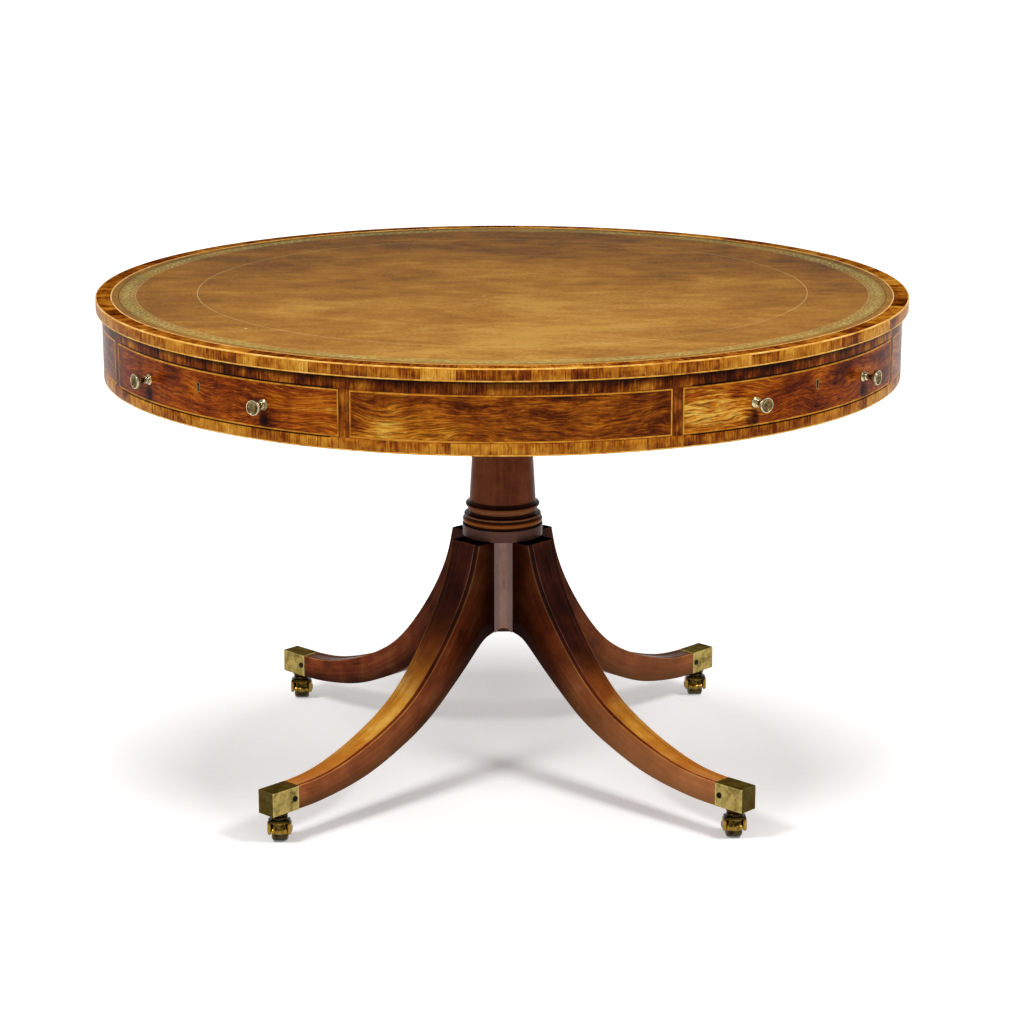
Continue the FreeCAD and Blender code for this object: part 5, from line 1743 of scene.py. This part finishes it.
    def screws(self, draft: Draft) -> None:
        """Draws the slotted screws in both sides of the toe cap.

        Args:
            draft: Draft that holds the screws of all the caps.
        """
        radius, slot = 3.7, 0.55  # of the head, and half of the slot's width
        for side in (-1, 1):
            hole = Vector((self.toe + 8.0, side * (self.cap_half - 0.35), 68.0))
            place = (self.quarter.turn() @ Matrix.Translation(hole)
                     @ Matrix.Rotation(-side * math.pi / 2, 4, "X")
                     @ Matrix.Rotation(0.7 + self.quarter.value, 4, "Z"))
            draft.turned([(0.0, 0.0), (4.5, 0.0), (4.5, 0.95), (4.1, 1.05), (3.75, 0.75), (0.0, 0.6)], 24,
                         place=place)
            for half in (-1, 1):
                start = math.asin(slot / radius)
                outline = [(radius * math.cos(a), half * radius * math.sin(a))
                           for a in np.linspace(start, math.pi - start, 13)]
                flat = place @ Matrix.Rotation(-math.pi / 2, 4, "X")
                draft.prism([(x, -y) for x, y in outline], 0.3, 1.15, flat, 0.15)


@dataclass
class Castor:
    """One brass castor: ringed neck, shield and flared cheeks round the wheel, pin and wheel."""

    quarter: Quarter
    reach: float = 470.5
    heading_deg: float = 135.0
    trail: float = 15.0
    axle: float = 18.0
    neck_top: float = 49.2
    cheek_inner: float = 12.2
    cheek_outer: float = 17.2

    def place(self) -> Matrix:
        """Place of the castor's own axes, with its pintle at their origin and its wheel toward +X."""
        return (self.quarter.turn() @ Matrix.Translation((self.reach, 0, 0))
                @ Matrix.Rotation(math.radians(self.heading_deg - self.quarter.value), 4, "Z"))

    def build(self) -> None:
        """Builds the castor's pieces."""
        label, place = self.quarter.label, self.place()
        horn = Draft()
        top = self.neck_top
        neck = [(0.0, 34.0), (9.6, 34.0), (9.6, 36.0), (8.4, 37.2), (8.4, 38.4), (9.2, 39.0)]
        neck += arc((11.6, 39.2), (12.6, 41.0), (11.6, 42.8), 4) + [(9.4, 43.0), (9.4, 44.4)]
        neck += arc((12.2, 44.8), (13.4, 46.8), (12.6, top - 0.3), 4) + [(0.0, top)]
        horn.turned(neck, 40, place=place)
        horn.turned([(0.0, top - 1.0), (4.9, top - 1.0), (4.9, 64.6), (4.4, 65.1), (0.0, 65.1)], 16,
                    place=place)
        self.shield(horn, place)
        cheek = arc((7.0, 15.0), (15.6, 11.0), (22.4, 17.0), 8) + [(22.0, 20.5), (15.5, 28.5)]
        cheek += arc((12.0, 32.4), (4.0, 34.2), (-5.4, 33.0), 6)
        cheek += arc((-7.4, 31.0), (-8.2, 23.5), (-6.6, 15.6), 5)
        cheek += [(-4.0, 14.4)]
        for side in (-1, 1):
            a, b = sorted((side * self.cheek_inner, side * self.cheek_outer))
            horn.prism(cheek, a, b, place, 1.4)
            lathe = (place @ Matrix.Translation((self.trail, side * (self.cheek_outer - 0.3), self.axle))
                     @ Matrix.Rotation(-side * math.pi / 2, 4, "X"))
            horn.turned([(0.0, 0.0), (4.4, 0.0), (4.2, 0.8), (3.1, 1.4), (0.0, 1.6)], 20, place=lathe)
        reach = self.cheek_inner + 0.5
        across = Matrix.Rotation(math.pi / 2, 4, "X")
        spindle = place @ Matrix.Translation((self.trail, 0, self.axle)) @ across
        horn.turned([(0.0, -reach), (2.9, -reach), (2.9, reach), (0.0, reach)], 16, place=spindle)
        horn.build("castor_bracket_" + label, [CASTOR_BRASS], "castor_" + label, "aged_brass",
                   ["castor_horn_" + label], 38.0)
        wheel = Draft()
        half = [(15.2, 11.7), (16.6, 11.2), (17.6, 9.9), (18.0, 8.0), (18.0, 2.6)]
        profile = [(3.1, -11.6), (6.4, -11.6), (6.8, -10.9), (12.4, -10.7), (13.0, -11.7)]
        profile += [(r, -y) for r, y in half] + [(17.85, 0.0)] + [(r, y) for r, y in reversed(half)]
        profile += [(13.0, 11.7), (12.4, 10.7), (6.8, 10.9), (6.4, 11.6), (3.1, 11.6)]
        wheel.turned(profile, 64, place=spindle)
        wheel.build("castor_roller_" + label, [WHEEL_BRASS], "wheel_" + label, "aged_brass",
                    ["castor_wheel_" + label], 38.0)

    def shield(self, horn: Draft, place: Matrix) -> None:
        """Draws the curved shield that joins the cheeks in front of the wheel.

        Args:
            horn: Draft of the bracket.
            place: Place of the castor.
        """
        # Height, half width and front of each section
        levels = [(14.2, 10.4, -4.9), (14.8, 10.9, -6.2), (16.6, 11.3, -8.0), (19.4, 11.3, -8.9),
                  (21.8, 11.0, -8.2), (23.0, 10.2, -6.9), (24.6, 9.0, -6.8), (27.6, 8.2, -7.4),
                  (30.4, 8.4, -8.2), (32.0, 9.6, -9.0), (33.6, 10.6, -9.0)]
        rows = []
        for z, wide, front in levels:
            row = []
            for k in range(13):
                share = -1 + k / 6
                ridge = 1.1 * math.exp(-(share * 3.2) ** 2)
                row.append(Vector((front + 1.1 - ridge + 1.6 * share * share, wide * share, z)))
            back = min(max(self.trail - math.sqrt(max(0.0, 19.4 ** 2 - (z - self.axle) ** 2)), front + 2.0),
                       4.0)
            row += [Vector((back, wide * (1 - k / 3), z)) for k in range(7)]
            rows.append([place @ p for p in row])
        horn.barrel(rows, [z for z, _, _ in levels], [float(k) for k in range(len(rows[0]) + 1)])
        crown = rounded([(-9.8, 33.0, 1.2), (-2.0, 33.0, 0), (9.0, 36.0, 0), (8.0, 37.4, 0.8),
                         (-9.8, 37.4, 1.4)], 3)
        horn.prism(crown, -self.cheek_outer + 1.0, self.cheek_outer - 1.0, place, 1.2)


@dataclass
class Studio:
    """Pale floor, soft light from above and in front, and the camera."""

    azimuth_deg: float = 43.65
    pitch_deg: float = 14.56
    distance: float = 4.211
    aside: float = 0.0145
    height: float = 1.505
    lens_mm: float = 99.25
    lamp_place: tuple[float, float, float] = (2.4, 0.0, 2.5)
    lamp_aim: tuple[float, float, float] = (0.0, 0.0, 0.4)
    lamp_side: float = 0.7
    lamp_watts: float = 58.0
    floor_half: float = 30.0

    def build(self) -> None:
        """Builds the floor, the world, the lamps and the camera."""
        self.floor()
        self.world()
        for quarter in (Quarter.FRONT, Quarter.RIGHT):
            self.lamp(quarter)
        self.camera()

    def floor(self) -> None:
        """Builds the floor, which shows white but keeps the table's shadow, paled behind the table by a
        painted glow.
        """
        mesh = bpy.data.meshes.new("floor")
        far = self.floor_half
        mesh.from_pydata([(-far, -far, 0), (far, -far, 0), (far, far, 0), (-far, far, 0)], [], [(0, 1, 2, 3)])
        plane = place_in_scene("floor", mesh)
        paper = bpy.data.materials.new("paper_backdrop_matt")
        paper.use_nodes = True
        tree = paper.node_tree
        tree.nodes.clear()
        seen = self.background_rays(tree)
        tint = add(tree, "Mix", {"Factor": seen, "A": "#DCDCDC", "B": "#FFFFFF"}, data_type="RGBA")
        matt = add(tree, "BsdfDiffuse", {"Color": tint})
        here = add(tree, "TexCoord").outputs["Object"]
        away = add(tree, "VectorMath", {0: here}, operation="LENGTH").outputs["Value"]
        # Painted light: a glow, seen by the camera and in reflections, that pales the table's shadow behind
        # it
        behind = add(tree, "VectorMath", {0: here, 1: (-0.33, 0.35, 0)},
                     operation="DISTANCE").outputs["Value"]
        shade = add(tree, "MapRange", {"Value": behind, "From Min": 0.30, "From Max": 0.72, "To Min": 0.38,
                                       "To Max": 0.10})
        rim = add(tree, "MapRange", {"Value": away, "From Min": 0.46, "From Max": 0.98, "To Max": 0.90})
        level = add(tree, "Math", {0: shade, 1: rim}, operation="ADD")
        share = add(tree, "Math", {0: seen, 1: level}, operation="MULTIPLY")
        white = add(tree, "Emission", {"Color": "#FFFFFF", "Strength": share})
        both = add(tree, "AddShader", {0: matt, 1: white})
        add(tree, "OutputMaterial", {"Surface": both})
        mesh.materials.append(paper)

    def world(self) -> None:
        """Lights the studio evenly and shows white behind the table."""
        room = bpy.data.worlds.new("studio")
        bpy.context.scene.world = room
        room.use_nodes = True
        tree = room.node_tree
        tree.nodes.clear()
        seen = self.background_rays(tree)
        up = add(tree, "SeparateXYZ", {0: add(tree, "TexCoord").outputs["Generated"]}).outputs["Z"]
        high = add(tree, "MapRange", {"Value": up, "From Min": 0.30, "From Max": 0.75, "To Min": 1.0,
                                      "To Max": 0.45})
        level = add(tree, "Mix", {"Factor": seen, "A": 0.25, "B": high})
        sky = add(tree, "Background", {"Color": "#FFFFFF", "Strength": level})
        add(tree, "OutputWorld", {"Surface": sky})

    def background_rays(self, tree: Tree) -> Node:
        """Picks the rays that show the background: the camera's, and those off metal or through glass.

        Args:
            tree: Node tree of the floor or the world.

        Returns:
            Node that is one for those rays and nought for the others.
        """
        path = add(tree, "LightPath")
        passed_on = add(tree, "Math", {0: path.outputs["Is Glossy Ray"],
                                       1: path.outputs["Is Transmission Ray"]}, operation="MAXIMUM")
        return add(tree, "Math", {0: path.outputs["Is Camera Ray"], 1: passed_on}, operation="MAXIMUM")

    def lamp(self, quarter: Quarter) -> None:
        """Hangs a square soft lamp on one side of the table.

        Args:
            quarter: Side of the table.
        """
        place = quarter.turn() @ Vector(self.lamp_place)
        data = bpy.data.lights.new("softbox_" + quarter.label, "AREA")
        data.size, data.energy = self.lamp_side, self.lamp_watts
        lamp = place_in_scene(data.name, data)
        lamp.location = place
        lamp.rotation_euler = (Vector(self.lamp_aim) - place).to_track_quat("-Z", "Y").to_euler()

    def camera(self) -> None:
        """Sets the camera at the table's three-quarter view."""
        turn = math.radians(self.azimuth_deg)
        ahead = Vector((math.sin(turn), -math.cos(turn), 0))
        side = Vector((math.cos(turn), math.sin(turn), 0))
        data = bpy.data.cameras.new("camera")
        data.lens, data.sensor_width = self.lens_mm, 36.0
        data.clip_start, data.clip_end = 0.05, 100.0
        eye = place_in_scene("camera", data)
        eye.location = ahead * self.distance + side * self.aside + Vector((0, 0, self.height))
        eye.rotation_euler = (math.radians(90 - self.pitch_deg), 0, turn)
        bpy.context.scene.camera = eye
        bpy.context.scene.view_settings.view_transform = "Standard"


def main() -> None:
    """Builds the table from the top down, then the studio."""
    logging.basicConfig(level=logging.INFO, format="%(name)s: %(message)s")
    WritingTop().build()
    DrumFrieze().build()
    for quarter in Quarter:
        Drawer(quarter).build()
    Pedestal().build()
    screws = Draft()
    # Per leg: the gold of the upper face, partly faded wood and partly painted light, and how much paler the
    # side gets outward, painted light for the light each leg catches
    for leg in (Leg(Quarter.RIGHT, 0.95, 0.150, 0.235, lit_outward=0.41), Leg(Quarter.BACK, 0.12, lit_outward=0.24),
                Leg(Quarter.LEFT, 0.12), Leg(Quarter.FRONT, 1.0, lit_outward=0.16)):
        leg.build()
        leg.screws(screws)
        Castor(leg.quarter).build()
    screws.build("toe_cap_slotted_screws", [SCREW_IRON], "pedestal", "iron", ["toe_cap_screws"], 30.0)
    Studio().build()


if __name__ == "__main__":
    main()
